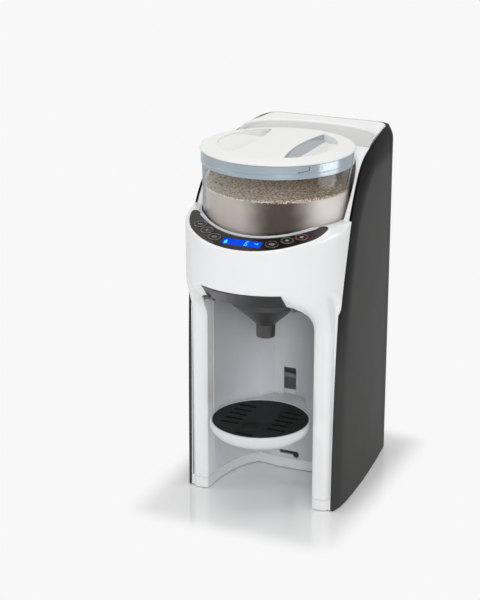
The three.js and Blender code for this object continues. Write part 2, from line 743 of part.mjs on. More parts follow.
const tankLid = cut(
  deckPlan.intersect(across(lipShape, -100, 100)),
  raise(basinShape, tankTopZ - 11, overTopZ, tiny).intersect(across(basinFloor, -100, 100)),
  raise(bodyPlan(tankInset + tankWall), deckUnderZ - 1, deckUnderZ + 3.4).intersect(
    block(-100, 100, tankFrontY + 2, 200, 0, 400)),
);
piece('tank_lid', white, 0.32, 0, tankLid);

// Control panel crescent, display window, switch board and six oval push buttons.
const crescent = cut(
  crescentPlan(crescentOuter, crescentInner, crescentTipY).intersect(tiltedRoom(-panelThick, 0)),
  ovalHoles(0.4),
  upright(0, lcdY, lcdShape(0)),
);
piece('control_panel', '#1d1513', 0.12, 0, crescent);
const boardDrop = 8;
const boardThick = 1.6;
const boardTipY = -48;
const boardPosts = [[20 - faceRadius, -54], [faceRadius - 20, -54]];
const displaySink = 0.3;
const lcd = upright(0, lcdY, lcdShape(-fit)).intersect(tiltedRoom(-boardDrop + fit, -displaySink));
piece('display_window', '#1e52ff', 0.15, 0, lcd);
const board = join(
  crescentPlan(crescentOuter - 3.4, wellWallRadius + 0.6, boardTipY).intersect(
    tiltedRoom(-boardDrop - boardThick, -boardDrop)),
  ...boardPosts.map(([x, y]) => disc(2, 240, 340, x, y, tiny).intersect(
    tiltedRoom(-boardDrop - boardThick / 2, -wall - fit))));
piece('switch_board', '#1f5a38', 0.6, 0, board);
const buttonRest = 0.5;
const buttonTravel = 0.8;
for (const { side, index, x, y } of controls) {
  const name = `button_${side < 0 ? 'left' : 'right'}_${index}`;
  const cap = upright(x, y, ovalShape(buttonLong, buttonShort)).intersect(
    tiltedRoom(-panelThick - 0.9, buttonRest));
  const stem = disc(1.6, 240, 340, x, y, tiny).intersect(
    tiltedRoom(-boardDrop + buttonTravel + 0.1, -panelThick - 0.5));
  piece(name, '#2a2422', 0.25, 0, join(cap, stem));
}

// Container seat: a white bowl in the head that the powder container stands in.
const seatOuter = wellRadius - fit;
const seat = cut(
  turn([
    [0, seatFloorZ], [seatOuter, seatFloorZ], [seatOuter, deckFlatZ + 0.6],
    [seatOuter - seatWall, deckFlatZ + 0.6],
    [seatOuter - seatWall, seatFloorZ + wall], [0, seatFloorZ + wall]], 0, 0, round)
    .intersect(across(crownShape(1.2), -100, 100)),
  disc(7.4 + fit, soffitZ, overTopZ, 0, 0, small),
  disc(outletRadius + 4, soffitZ, overTopZ, 0, outletY, small),
);
piece('container_seat', white, 0.35, 0, seat);

// Powder container: clear tumbler, silver band, base with outlet, dosing wheel and stirrer.
const podInner = podRadius - podWall;
const podFloorZ = podBottomZ + podWall;
const hubRadius = 7;
const hubGap = 0.5;
const inletY = -outletY;
const pod = cut(
  turn([
    [hubRadius + hubGap, podBottomZ], [podFootRadius - 5, podBottomZ],
    [podFootRadius - 1.4, podBottomZ + 1.4],
    [podFootRadius, podBottomZ + 5], [podRadius, podTopZ], [podInner, podTopZ],
    [podFootRadius - podWall, podBottomZ + 6.5], [podFootRadius - 5, podFloorZ],
    [hubRadius + hubGap, podFloorZ],
    [hubRadius + hubGap, podBottomZ]], 0, 0, round),
  disc(outletRadius + 2, soffitZ - 19, overTopZ, 0, inletY, small),
);
piece('powder_container', '#dfe3e4', 0.06, 0, pod, { transparent: true, opacity: 0.3 });

const bandInner = bandRadius - 1.6;
const band = turn([
  [bandInner, bandBottomZ], [bandRadius - 0.3, bandBottomZ], [bandRadius, bandBottomZ + 0.4],
  [bandRadius, bandTopZ - 0.4], [bandRadius - 0.3, bandTopZ], [bandInner, bandTopZ], [bandInner, bandBottomZ],
], 0, 0, round);
piece('container_band', '#9fb0bc', 0.25, 0.3, band);

const wheelInset = 7.8;
const wheelRadius = podRadius - wheelInset;
const baseFloorZ = seatFloorZ + wall + fit;
const wheelLowZ = baseFloorZ + 2.2 + fit;
const wheelHighZ = podBottomZ - 0.4;
const containerBase = cut(
  join(
    disc(wheelRadius + 2.4, baseFloorZ, baseFloorZ + 2.2, 0, 0, round),
    ring(wheelRadius + 2.4, wheelRadius + 0.5, baseFloorZ, podBottomZ - fit, 0, 0, round),
    disc(outletRadius + 2, seatFloorZ - 3, baseFloorZ + 1, 0, outletY, small)),
  disc(outletRadius, soffitZ - 19, overTopZ, 0, outletY, small),
  disc(shaftRadius + 1.6, soffitZ - 19, overTopZ, 0, 0, small),
);
piece('container_base', '#d9d9d4', 0.4, 0, containerBase);

// The hub of the dosing wheel has a square socket that drops over the drive shaft's square head.
const squareHalf = 2.6;
const socketTop = wheelHighZ + 3;
const pockets = [];
for (let i = 0; i < 4; i++) {
  const angle = (i * Math.PI) / 2 + Math.PI / 4;
  const [x, y] = [inletY * Math.cos(angle), inletY * Math.sin(angle)];
  pockets.push(disc(outletRadius - 1, soffitZ - 19, overTopZ, x, y, tiny));
}
const wheel = cut(
  join(
    disc(wheelRadius, wheelLowZ, wheelHighZ, 0, 0, round),
    disc(hubRadius, wheelLowZ, podFloorZ + 2, 0, 0, small)),
  block(-squareHalf - 0.5, squareHalf + 0.5, -squareHalf - 0.5, squareHalf + 0.5, 200, socketTop),
  ...pockets,
);
piece('dosing_wheel', '#c8503c', 0.45, 0, wheel);

const stirLow = podFloorZ + 2 + fit;
const stirReach = wheelRadius - 6;
const arms = [];
for (let i = 0; i < 3; i++) {
  const arm = block(0, stirReach, -1.4, 1.4, stirLow, stirLow + 4).rotate([0, 0, 120 * i]);
  arms.push(arm);
}
const stirrer = join(disc(hubRadius + 2, stirLow, stirLow + 8, 0, 0, small), ...arms);
piece('stirrer', '#d0d0cc', 0.4, 0, stirrer);

const stirClear = 1;
const powder = turn([
  [hubRadius + 4, stirLow + 8 + stirClear], [stirReach + stirClear + 1, stirLow + 8 + stirClear],
  [stirReach + stirClear + 1, podFloorZ + 1.6], [podFootRadius - podWall - 2.2, podFloorZ + 1.6],
  [podFootRadius - podWall - 0.6, podBottomZ + 7.5], [podInner - 0.9, powderTopZ],
  [0, powderTopZ], [0, stirLow + 8 + stirClear + 6], [hubRadius + 4, stirLow + 8 + stirClear + 6],
  [hubRadius + 4, stirLow + 8 + stirClear],
], 0, 0, round);
piece('powder_fill', '#bdb3ab', 0.95, 0, powder);

// Twist lid: a crowned disc with two finger scoops beside a grip bar, and its seal ring.
const skirtOuter = bandInner - 2.2;
const lidUnderZ = lidEdgeZ - lidThick + 0.8;
const lidBody = turn([
  [0, lidUnderZ], [skirtOuter - 2, lidUnderZ], [skirtOuter - 2, bandBottomZ + 5],
  [skirtOuter, bandBottomZ + 5], [skirtOuter, bandTopZ + fit], [lidRadius - 0.6, bandTopZ + fit],
  [lidRadius, bandTopZ + 0.9], [lidRadius, lidEdgeZ - 0.7], [lidRadius - 1.2, lidEdgeZ],
  [scoopRadius + 4, lidCrownZ - 0.7], [40, lidCrownZ - 0.1], [0, lidCrownZ],
], 0, 0, round);
function scoop(side, inset, floorZ) {
  const radius = scoopRadius - inset;
  const edge = gripHalfWidth + inset;
  const reach = Math.acos(edge / radius);
  const shape = new THREE.Shape();
  shape.absarc(0, 0, radius, -reach, reach, false);
  shape.quadraticCurveTo(edge + 5, 0, radius * Math.cos(reach), -radius * Math.sin(reach));
  const floor = along(polygon([
    [edge - 4, floorZ], [edge + 6, floorZ], [scoopRadius, lidCrownZ - 0.9 + inset * 0.2],
    [scoopRadius + 4, lidCrownZ + 9], [edge - 4, lidCrownZ + 9]]), -90, 90);
  const bowl = raise(shape, bandBottomZ - 20, overTopZ, 8).intersect(floor);
  return side > 0 ? bowl : bowl.rotate([0, 0, 180]);
}
const scoopFloorZ = lidCrownZ - scoopDepth;
const skinUnder = (side) => scoop(side, -2.2, scoopFloorZ - 2.4);
const lid = cut(
  join(
    lidBody,
    skinUnder(left).intersect(disc(skirtOuter - 1, bandBottomZ - 10, lidEdgeZ)),
    skinUnder(right).intersect(disc(skirtOuter - 1, bandBottomZ - 10, lidEdgeZ))),
  scoop(left, 0, scoopFloorZ),
  scoop(right, 0, scoopFloorZ),
);
piece('lid', warmWhite, 0.38, 0, lid);
const seal = turn([
  [skirtOuter + fit, bandTopZ - 5], [bandInner - fit, bandTopZ - 5], [bandInner - fit, bandTopZ - 2.4],
  [skirtOuter + fit, bandTopZ - 2.4], [skirtOuter + fit, bandTopZ - 5]], 0, 0, round);
piece('lid_seal', '#8c9298', 0.8, 0, seal);

// Drive: gear motor and pinion turn the large gear on the upright drive shaft.
const gearPitch = (gearTeeth * gearModule) / 2;
const pinionPitch = (pinionTeeth * gearModule) / 2;
const motorY = gearPitch + pinionPitch + 0.5;
function toothedDisc(teeth, low, high, bore, phase) {
  const pitch = (teeth * gearModule) / 2;
  const root = pitch - 1.15 * gearModule;
  const tip = pitch + 0.85 * gearModule;
  const step = (2 * Math.PI) / teeth;
  const points = [];
  for (let i = 0; i < teeth; i++) {
    const middle = i * step + phase;
    for (const [radius, share] of [[root, -0.27], [tip, -0.12], [tip, 0.12], [root, 0.27]]) {
      points.push([radius * Math.cos(middle + share * step), radius * Math.sin(middle + share * step)]);
    }
  }
  return cut(raise(polygon(points), low, high), disc(bore, low - 1, high + 1, 0, 0, small));
}
const gear = cut(
  join(
    toothedDisc(gearTeeth, gearZ, gearZ + gearThick, 0.5, Math.PI / 2),
    disc(8, gearZ - 1.5, gearZ + gearThick, 0, 0, small)),
  disc(shaftRadius + fit, soffitZ - 19, overTopZ, 0, 0, small),
);
piece('drive_gear', '#e8e4d8', 0.5, 0, gear);
const shaft = join(
  disc(shaftRadius, gearZ - 12, baseFloorZ + 1, 0, 0, small),
  block(-squareHalf, squareHalf, -squareHalf, squareHalf, baseFloorZ, socketTop - fit));
piece('drive_shaft', '#b8bbbe', 0.3, 0.9, shaft);
const bearing = join(
  ring(7.4, shaftRadius + fit, seatFloorZ - 1.6, seatFloorZ + wall - fit, 0, 0, small),
  ring(10, shaftRadius + fit, seatFloorZ - 1.6, seatFloorZ - fit, 0, 0, small));
piece('shaft_bearing', '#a58b4a', 0.4, 0.8, bearing);
const pinionPhase = -Math.PI / 2 + Math.PI / pinionTeeth;
const pinion = cut(
  toothedDisc(pinionTeeth, gearZ, gearZ + gearThick, 0.5, pinionPhase),
  disc(2.3, soffitZ - 19, overTopZ, 0, 0, tiny));
piece('motor_pinion', '#e8e4d8', 0.5, 0, pinion.translate(0, motorY, 0));
const plateZ = gearZ - 3.6;
const motor = join(
  disc(14.5, plateZ - 40, plateZ - fit, 0, motorY, medium),
  disc(6, plateZ - fit - 0.5, plateZ + 1.6, 0, motorY, small),
  disc(2, plateZ, gearZ + gearThick - 0.5, 0, motorY, tiny));
piece('gear_motor', '#8f9396', 0.4, 0.8, motor);

// Funnel housing: the drawer-like pocket in the head that the funnel slides into.
const ceilingZ = pocketTop + fit;
const pocketBack = funnelBackY + 2;
const housingRoom = hollow(fit);
const chuteRadius = outletRadius + 4.5;
const nozzleX = -24;
const nozzleY = -48;
const nozzleBore = 3;
const soffitHalf = bayHalfWidth - 2;
const pocketWall = 2.4;
const railReach = 6.5;
const railFrontY = tubFrontY + 6;
const rail = (side) => {
  const near = Math.min(side * (pocketHalf - railReach), side * (pocketHalf + pocketWall));
  const width = railReach + pocketWall;
  return block(near, near + width, railFrontY, -4, funnelFloorZ - fit - pocketWall, funnelFloorZ - fit);
};
const housing = join(
  cut(
    join(
      block(-soffitHalf, soffitHalf, -100, bayBackY - 10, soffitZ, soffitZ + pocketWall),
      block(-pocketHalf - pocketWall, pocketHalf + pocketWall, -100, pocketBack + pocketWall, soffitZ,
        ceilingZ + pocketWall)),
    block(-pocketHalf, pocketHalf, -140, pocketBack, 0, ceilingZ),
    disc(chuteRadius, soffitZ - 19, overTopZ, 0, outletY, small),
    disc(nozzleBore, soffitZ - 19, overTopZ, nozzleX, nozzleY, tiny),
  ).intersect(housingRoom),
  rail(left),
  rail(right),
);
piece('funnel_housing', white, 0.4, 0, housing);

const bracketPosts = [[-16, 8], [16, 8]];
const bracket = cut(
  join(
    block(-20, 20, -10, motorY + 18, plateZ, plateZ + 1.6),
    ...bracketPosts.map(([x, y]) => disc(2.6, ceilingZ + 2.4 + fit, plateZ + 1, x, y, tiny)),
    disc(7, plateZ, plateZ + 1.6, 0, 0, small)),
  disc(shaftRadius + fit, soffitZ - 19, overTopZ, 0, 0, small),
  disc(6 + fit, soffitZ - 19, overTopZ, 0, motorY, small),
);
piece('gear_bracket', '#b4b7ba', 0.4, 0.8, bracket);

// Funnel: slanted front fascia, open tub, cone and spout, in one smoky moulding.
const arcLine = (shift, z, count = 14) => {
  const line = [];
  for (let i = 0; i <= count; i++) {
    const x = -funnelHalf + (2 * funnelHalf * i) / count;
    line.push(new THREE.Vector3(x, headFront(x) + shift, z));
  }
  return line;
};
const fasciaRing = (shift, z) => [...arcLine(shift, z), ...arcLine(shift + funnelWall + 0.8, z).reverse()];
const wingLowZ = funnelTopZ - wingDrop;
const fascia = loft([fasciaRing(wingBack, wingLowZ), fasciaRing(0, funnelTopZ)], fromAbove);
function tubShape(inset) {
  const half = funnelHalf - inset;
  const shape = new THREE.Shape();
  shape.moveTo(-half, tubFrontY + inset);
  shape.lineTo(half, tubFrontY + inset);
  shape.absarc(0, funnelBackY - funnelHalf, half, 0, Math.PI, false);
  return shape;
}
const tub = cut(
  raise(tubShape(0), funnelFloorZ, funnelTopZ, tiny),
  raise(tubShape(funnelWall), funnelFloorZ + 2.2, funnelTopZ + 10, tiny));
const cheekBackY = tubFrontY + 8;
const cheekShape = polygon([
  [cheekBackY - 16, wingLowZ], [cheekBackY, wingLowZ], [cheekBackY, funnelTopZ],
  [cheekBackY - 30, funnelTopZ]]);
const cheeks = join(
  across(cheekShape, -funnelHalf, -funnelHalf + funnelWall),
  across(cheekShape, funnelHalf - funnelWall, funnelHalf));
const apron = raise(polygon([
  ...arcLine(wingBack + 1, 0).map((p) => [p.x, p.y]), [funnelHalf, tubFrontY + 2],
  [-funnelHalf, tubFrontY + 2]]),
wingLowZ, wingLowZ + funnelWall);
const coneOuter = turn([
  [0, spoutTipZ], [spoutRadius, spoutTipZ], [spoutRadius + 0.4, spoutTopZ],
  [coneTopRadius, funnelFloorZ + 0.1],
  [0, funnelFloorZ + 0.1]], 0, spoutY);
const coneInner = turn([
  [0, spoutTipZ - 5], [spoutRadius - funnelWall, spoutTipZ - 5],
  [spoutRadius + 0.4 - funnelWall, spoutTopZ + 0.6],
  [coneTopRadius - funnelWall - 0.6, funnelFloorZ + 0.2],
  [coneTopRadius - funnelWall - 0.6, funnelFloorZ + 6],
  [0, funnelFloorZ + 6]], 0, spoutY);
const funnel = cut(join(tub, fascia, cheeks, apron, coneOuter), coneInner);
piece('funnel', smoke, 0.15, 0, funnel, { transparent: true, opacity: 0.75 });

// Funnel cover: shallow dish with a rim, an off-centre tower and the powder hole on top.
const coverZ = funnelFloorZ + 2.2 + fit;
const coverWall = 1.8;
const towerY = outletY;
const cover = cut(
  join(
    cut(
      disc(coverRadius, coverZ, coverZ + coverRimHeight, 0, spoutY),
      disc(coverRadius - coverWall, coverZ + coverWall, overTopZ, 0, spoutY)),
    turn([
      [0, coverZ], [towerFoot, coverZ], [towerFoot - 2, coverZ + coverHeight],
      [0, coverZ + coverHeight]], 0, towerY)),
  turn([
    [0, coverZ - 2], [towerFoot - coverWall, coverZ - 2],
    [towerFoot - 2 - coverWall, coverZ + coverHeight - coverWall],
    [0, coverZ + coverHeight - coverWall]], 0, towerY),
  disc(towerHole, soffitZ - 19, overTopZ, 0, towerY, medium),
);
piece('funnel_cover', smoke, 0.15, 0, cover, { transparent: true, opacity: 0.7 });

// Drip tray: shallow white dish on a hooked bracket, with a black slotted grate.
const trayLowZ = trayTopZ - trayDepth;
const trayInner = trayRadius - trayWall;
const grateSeatZ = trayTopZ - grateDepth - grateThick - fit;
const dish = cut(
  turn([
    [0, trayLowZ], [trayRadius * 0.72, trayLowZ + 0.4], [trayRadius * 0.92, trayLowZ + 4],
    [trayRadius, trayTopZ - 5],
    [trayRadius, trayTopZ - 0.8], [trayRadius - 0.8, trayTopZ], [trayInner, trayTopZ],
    [trayInner, grateSeatZ], [trayInner - 2, grateSeatZ],
    [trayInner - 3, trayTopZ - 7], [trayRadius * 0.7, trayLowZ + 2.6], [0, trayLowZ + 2.2]], 0, trayY, round),
);
piece('tray_dish', white, 0.35, 0, dish);

const grateRadius = trayInner - grateGap;
const grateTop = trayTopZ - grateDepth;
const slotFrontY = trayY - 20.5;
const slotPitch = 11.4;
const slotNearX = 15.5;
const slotLength = 20.3;
const slotHalfWide = 2;
const slots = [];
for (let row = 0; row < 5; row++) {
  const y = slotFrontY + slotPitch * row;
  for (const side of [left, right]) {
    const near = Math.min(side * slotNearX, side * (slotNearX + slotLength));
    slots.push(block(near, near + slotLength, y - slotHalfWide, y + slotHalfWide, 0, 200));
  }
}
const frontSlotY = trayY - trayRadius + 7.3;
slots.push(block(-10, 10, frontSlotY, frontSlotY + 2 * slotHalfWide, 0, 200));
const dimpleRim = 11;
const dimpleLow = grateTop - 2.2;
const dimple = turn([
  [0, dimpleLow], [dimpleRim / 3, dimpleLow + 0.25], [dimpleRim * 2 / 3, dimpleLow + 1],
  [dimpleRim, grateTop], [dimpleRim, grateTop + 5], [0, grateTop + 5]], 0, trayY - 21);
const grate = cut(
  disc(grateRadius, grateTop - grateThick, grateTop, 0, trayY, round),
  ...slots,
  dimple,
);
piece('drip_grate', '#1f2120', 0.7, 0, grate);

const stemY = bayBackAt(0);
const collarShape = (inset) => {
  const shape = new THREE.Shape();
  const radius = trayRadius + fit + inset;
  shape.absarc(0, trayY, radius, 0.22 * Math.PI, 0.78 * Math.PI, false);
  shape.lineTo(-15, stemY - 5);
  shape.lineTo(15, stemY - 5);
  return shape;
};
const saddle = cut(
  raise(collarShape(0), trayLowZ + 5, trayTopZ - 1, tiny),
  disc(trayRadius + fit, 0, 200, 0, trayY, round));
const tongue = block(-slotHalf + fit, slotHalf - fit, stemY - 8, stemY + 5, trayLowZ + 5, trayTopZ - 3);
const sliderFront = bayBackAt(hookHalf) + linerWall + fit;
const slider = block(-hookHalf, hookHalf, sliderFront, sliderFront + 2.4, trayLowZ + 2, trayTopZ + 2);
piece('tray_bracket', white, 0.35, 0, join(saddle, tongue, slider));

// Two circuit boards: controls on the bulkhead, power supply on the floor beside the inlet.
const boardFront = bulkheadY - fit - boardThick;
const mainBoard = join(
  block(-16, 54, boardFront, boardFront + boardThick, 128, 212),
  block(-8, 10, boardFront - 3, boardFront + 0.8, 150, 168),
  block(38, 50, boardFront - 7, boardFront + 0.9, 176, 203),
  along(ovalShape(6, 6), boardFront - 9, boardFront + 0.7).translate(28, 0, 147));
piece('main_board', '#1f5a38', 0.6, 0, mainBoard);
const powerBoardZ = trayFloorZ + fit;
const powerBoard = join(
  block(16, 58, 88, 126, powerBoardZ, powerBoardZ + boardThick),
  block(20, 42, 92, 115, powerBoardZ + 0.9, powerBoardZ + 22),
  disc(4.5, powerBoardZ + 0.8, powerBoardZ + 14, 50, 97.5, tiny),
  disc(4, powerBoardZ + 0.7, powerBoardZ + 11, 50.5, 110, tiny));
piece('power_board', '#1f5a38', 0.6, 0, powerBoard);

// Water path: pump and heater behind the bay, hoses, and the nozzle over the funnel.
const wetY = 62;
const pumpX = 38;
const heaterX = -38;
const pump = join(
  disc(13, baseTop + 10, baseTop + 48, pumpX, wetY, medium),
  block(pumpX - 14, pumpX + 14, wetY - 14, wetY + 14, baseTop + 4, baseTop + 14),
  block(pumpX - 4, pumpX + 4, wetY - 4, wetY + 4, trayFloorZ + fit, baseTop + 6));
piece('water_pump', '#3a3d40', 0.5, 0.3, pump);
const heaterLow = 120;
const heaterHigh = 186;
const heater = join(
  disc(13, heaterLow, heaterHigh, heaterX, wetY, medium),
  block(heaterX - 10, heaterX + 10, wetY + 8, bulkheadY - fit, heaterLow + 8, heaterHigh - 8));
piece('water_heater', '#b4b7ba', 0.35, 0.8, heater);
const hose = (points) => pipe(points, hoseRadius);
const pumpTop = baseTop + 48;
const pumpSide = pumpX - 13;
piece('supply_hose', '#d6d9db', 0.5, 0, hose([
  [0, valveY, tankBottomZ - 6 - fit], [0, valveY, 48], [0, valveY - 8, hoseLevelZ + 1], [0, 96, hoseLevelZ],
  [0, bulkheadY + 1, hoseLevelZ], [2, 74, hoseLevelZ], [11, 65, hoseLevelZ],
  [pumpSide - fit, wetY, hoseLevelZ]]));
piece('pressure_hose', '#d6d9db', 0.5, 0, hose([
  [pumpX, wetY, pumpTop + fit], [pumpX, wetY, 74], [28, wetY, 90], [0, wetY, 98], [-28, wetY, 102],
  [heaterX, wetY, 110], [heaterX, wetY, heaterLow - fit]]));
piece('hot_water_hose', '#d6d9db', 0.5, 0, hose([
  [heaterX, wetY, heaterHigh + fit], [heaterX, wetY, 220], [heaterX, 58, 246], [-35, 40, 260], [-30, 8, 263],
  [-27, -34, 266], [nozzleX, nozzleY + 3, 265], [nozzleX, nozzleY, 261],
  [nozzleX, nozzleY, ceilingZ + 12 + fit]]));
const nozzle = join(
  disc(3 - fit, pocketTop - fit, ceilingZ + 12, nozzleX, nozzleY, tiny),
  disc(5, ceilingZ + 2.4 + fit, ceilingZ + 6, nozzleX, nozzleY, tiny));
piece('water_nozzle', '#9aa0a5', 0.4, 0, nozzle);

export default machine;
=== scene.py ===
import random
from collections import namedtuple
from math import acos, atan2, cos, degrees, hypot, pi, radians, sin, sqrt

import bmesh
import bpy
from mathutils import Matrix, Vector


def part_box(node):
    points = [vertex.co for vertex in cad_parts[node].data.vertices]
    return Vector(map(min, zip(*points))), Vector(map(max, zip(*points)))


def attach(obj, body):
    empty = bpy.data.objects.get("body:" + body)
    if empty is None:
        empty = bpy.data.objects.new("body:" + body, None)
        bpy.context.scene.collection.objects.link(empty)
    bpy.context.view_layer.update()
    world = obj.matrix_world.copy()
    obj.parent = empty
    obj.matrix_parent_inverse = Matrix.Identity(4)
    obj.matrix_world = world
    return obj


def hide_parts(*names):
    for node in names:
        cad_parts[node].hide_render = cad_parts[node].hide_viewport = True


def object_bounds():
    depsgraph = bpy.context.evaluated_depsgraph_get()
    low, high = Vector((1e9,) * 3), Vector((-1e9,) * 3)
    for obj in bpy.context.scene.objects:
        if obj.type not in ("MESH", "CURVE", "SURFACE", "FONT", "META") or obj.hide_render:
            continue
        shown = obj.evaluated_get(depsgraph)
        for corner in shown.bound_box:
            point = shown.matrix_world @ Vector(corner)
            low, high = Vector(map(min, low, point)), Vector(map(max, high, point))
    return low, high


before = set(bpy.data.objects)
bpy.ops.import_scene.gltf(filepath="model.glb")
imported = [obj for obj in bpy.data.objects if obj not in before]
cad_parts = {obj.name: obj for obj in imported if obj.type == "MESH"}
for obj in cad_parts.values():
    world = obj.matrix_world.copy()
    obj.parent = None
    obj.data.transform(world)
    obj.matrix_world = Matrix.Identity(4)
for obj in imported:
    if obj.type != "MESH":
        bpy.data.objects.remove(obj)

cad_low, cad_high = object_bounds()


# The camera of the photograph. It stands to the right of the machine's front and looks
# a little down on it, from about one and three quarter metres.
def shown(name, data):
    """A new object, linked to the scene."""
    made = bpy.data.objects.new(name, data)
    bpy.context.scene.collection.objects.link(made)
    return made


camera_yaw = radians(24.23)
camera_pitch = radians(19.30)
camera_data = bpy.data.cameras.new("photo_camera")
camera_data.lens = 101.16
camera_data.sensor_width = 36
camera = shown("photo_camera", camera_data)
camera.location = (0.6384, -1.53445, 0.7807)
sight = Vector((
    -sin(camera_yaw) * cos(camera_pitch),
    cos(camera_yaw) * cos(camera_pitch),
    -sin(camera_pitch)))
camera.rotation_euler = sight.to_track_quat("-Z", "Y").to_euler()
bpy.context.scene.camera = camera
bpy.context.scene.view_settings.view_transform = "Standard"


class Tint:
    """A value in a material's nodes. Arithmetic on it adds Math nodes."""

    def __init__(self, tree, socket=None):
        self.tree = tree
        self.socket = socket

    def node(self, kind, settings=None, sockets=None, out=0):
        made = self.tree.nodes.new(kind)
        for key, value in (settings or {}).items():
            setattr(made, key, value)
        for key, value in (sockets or {}).items():
            if isinstance(value, Tint):
                self.tree.links.new(value.socket, made.inputs[key])
            else:
                made.inputs[key].default_value = value
        return Tint(self.tree, made.outputs[out])

    def sum(self, operation, first, second=0.0):
        return self.node("ShaderNodeMath", {"operation": operation}, {0: first, 1: second})

    def __add__(self, other):
        return self.sum("ADD", self, other)

    def __sub__(self, other):
        return self.sum("SUBTRACT", self, other)

    def __mul__(self, other):
        return self.sum("MULTIPLY", self, other)

    def __rsub__(self, other):
        return self.sum("SUBTRACT", other, self)

    __radd__ = __add__
    __rmul__ = __mul__

    def between(self, low, high):
        """0 below the low value, 1 above the high one, and a soft step between them."""
        return self.node("ShaderNodeMapRange", {"interpolation_type": "SMOOTHSTEP"}, {
            "Value": self, "From Min": low, "From Max": high})

    def mix(self, first, second):
        """The first colour where this is 0, the second where it is 1."""
        return self.node("ShaderNodeMix", {"data_type": "RGBA"}, {"Factor": self, "A": first, "B": second}, 2)

    def reach(self, other):
        """The distance that has this and the other as its two sides."""
        return self.sum("SQRT", self * self + other * other)

    def place(self):
        return self.node("ShaderNodeTexCoord", out=3)

    def axis(self, which):
        return self.node("ShaderNodeSeparateXYZ", None, {0: self.place()}, which)

    def noise(self, scale, detail=2.0):
        return self.node("ShaderNodeTexNoise", None, {
            "Vector": self.place(), "Scale": scale, "Detail": detail})


def blank(name):
    """A new material, and the value that its nodes start from."""
    material = bpy.data.materials.new(name)
    material.use_nodes = True
    return Tint(material.node_tree)


def finish(name, **sockets):
    """Sets the sockets of a material's shader to constants or to values from its nodes."""
    material = bpy.data.materials[name]
    shader = material.node_tree.nodes["Principled BSDF"]
    for key, value in sockets.items():
        socket = shader.inputs[key.replace("_", " ")]
        if isinstance(value, Tint):
            material.node_tree.links.new(value.socket, socket)
        else:
            socket.default_value = value


# The studio: a glossy pale floor that fades into a plain light background, soft lamps
# in front and above, and a low panel beside the machine that only reflections see.
pale = (0.939, 0.939, 0.939, 1)
floor_half = 14
floor_mesh = bpy.data.meshes.new("studio_floor")
floor_mesh.from_pydata(
    [(-floor_half, -floor_half, 0), (floor_half, -floor_half, 0), (floor_half, floor_half, 0),
     (-floor_half, floor_half, 0)], [], [(0, 1, 2, 3)])
floor = shown("studio_floor", floor_mesh)
ground = blank("studio_floor")
beside, ahead = [
    ground.sum("MAXIMUM", ground.sum("ABSOLUTE", ground.axis(which)) - cad_high[which], 0.0)
    for which in (0, 1)]
away = beside.reach(ahead)
seen = ground.node("ShaderNodeLightPath")
glow = ground.node("ShaderNodeEmission", None, {"Color": pale, "Strength": 1.0})
finish("studio_floor", Base_Color=(0.95, 0.95, 0.95, 1), Roughness=0.05, Specular_IOR_Level=0.9)
lit = Tint(ground.tree, ground.tree.nodes["Principled BSDF"].outputs[0])
blend = ground.node("ShaderNodeMixShader", None, {0: away.between(0.0, 0.04) * seen, 1: lit, 2: glow})
ground.tree.links.new(blend.socket, ground.tree.nodes["Material Output"].inputs[0])
floor_mesh.materials.append(bpy.data.materials["studio_floor"])

world = bpy.data.worlds.new("studio")
bpy.context.scene.world = world
world.use_nodes = True
sky = Tint(world.node_tree)
path_kinds = world.node_tree.nodes.new("ShaderNodeLightPath")
ambient = 0.5
aloft = 0.14
ways = sky.node("ShaderNodeTexCoord")
height = sky.node("ShaderNodeSeparateXYZ", None, {0: ways}, 2)
mirrored = 1 - (1 - aloft - ambient) * height.between(0.05, 0.4) - ambient
direct = Tint(world.node_tree, path_kinds.outputs["Is Camera Ray"])
direct = direct + Tint(world.node_tree, path_kinds.outputs["Is Transmission Ray"])
glossy = Tint(world.node_tree, path_kinds.outputs["Is Glossy Ray"])
strength = sky.node("ShaderNodeClamp", None, {
    "Value": direct * (1 - ambient) + glossy * mirrored + ambient})
backing = world.node_tree.nodes["Background"]
backing.inputs["Color"].default_value = pale
world.node_tree.links.new(strength.socket, backing.inputs["Strength"])


def lamp(name, place, aim, width, height, watts, only_gloss=False):
    light = bpy.data.lights.new(name, "AREA")
    light.shape = "RECTANGLE"
    light.size = width
    light.size_y = height
    light.energy = watts
    held = shown(name, light)
    held.location = place
    held.rotation_euler = (Vector(aim) - Vector(place)).to_track_quat("-Z", "Y").to_euler()
    held.visible_diffuse = not only_gloss


middle = (0, 0, 0.2)
lamp("front_softbox", (0.9, -1.7, 0.9), middle, 0.9, 0.9, 13)
lamp("top_softbox", (0.1, 0.1, 1.9), middle, 1.2, 1.2, 12)
lamp("left_softbox", (-1.6, -0.9, 0.9), middle, 0.9, 0.9, 6)
lamp("low_panel", (0.66, 0.12, 0.30), (0, -0.02, 0.30), 0.42, 0.30, 1.2, only_gloss=True)


# The white housing, one glossy plastic moulding: a round head that carries the powder
# container, two legs that run down in front of the bay, shoulders and a hollow rear.
# Sizes are in millimetres from the container's axis, as a drawing of the mould has them.
lid_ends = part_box("lid")
axis_y = (lid_ends[0].y + lid_ends[1].y) / 2
Corner = namedtuple("Corner", "x y z")


def measured(node):
    """A node's lowest and highest corners, in millimetres from the container's axis."""
    return [Corner(end.x * 1000, (end.y - axis_y) * 1000, end.z * 1000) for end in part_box(node)]


def spot(node):
    """The middle of an upright round node in plan, its radius and its top."""
    low, high = measured(node)
    return (low.x + high.x) / 2, (low.y + high.y) / 2, (high.x - low.x) / 2, high.z


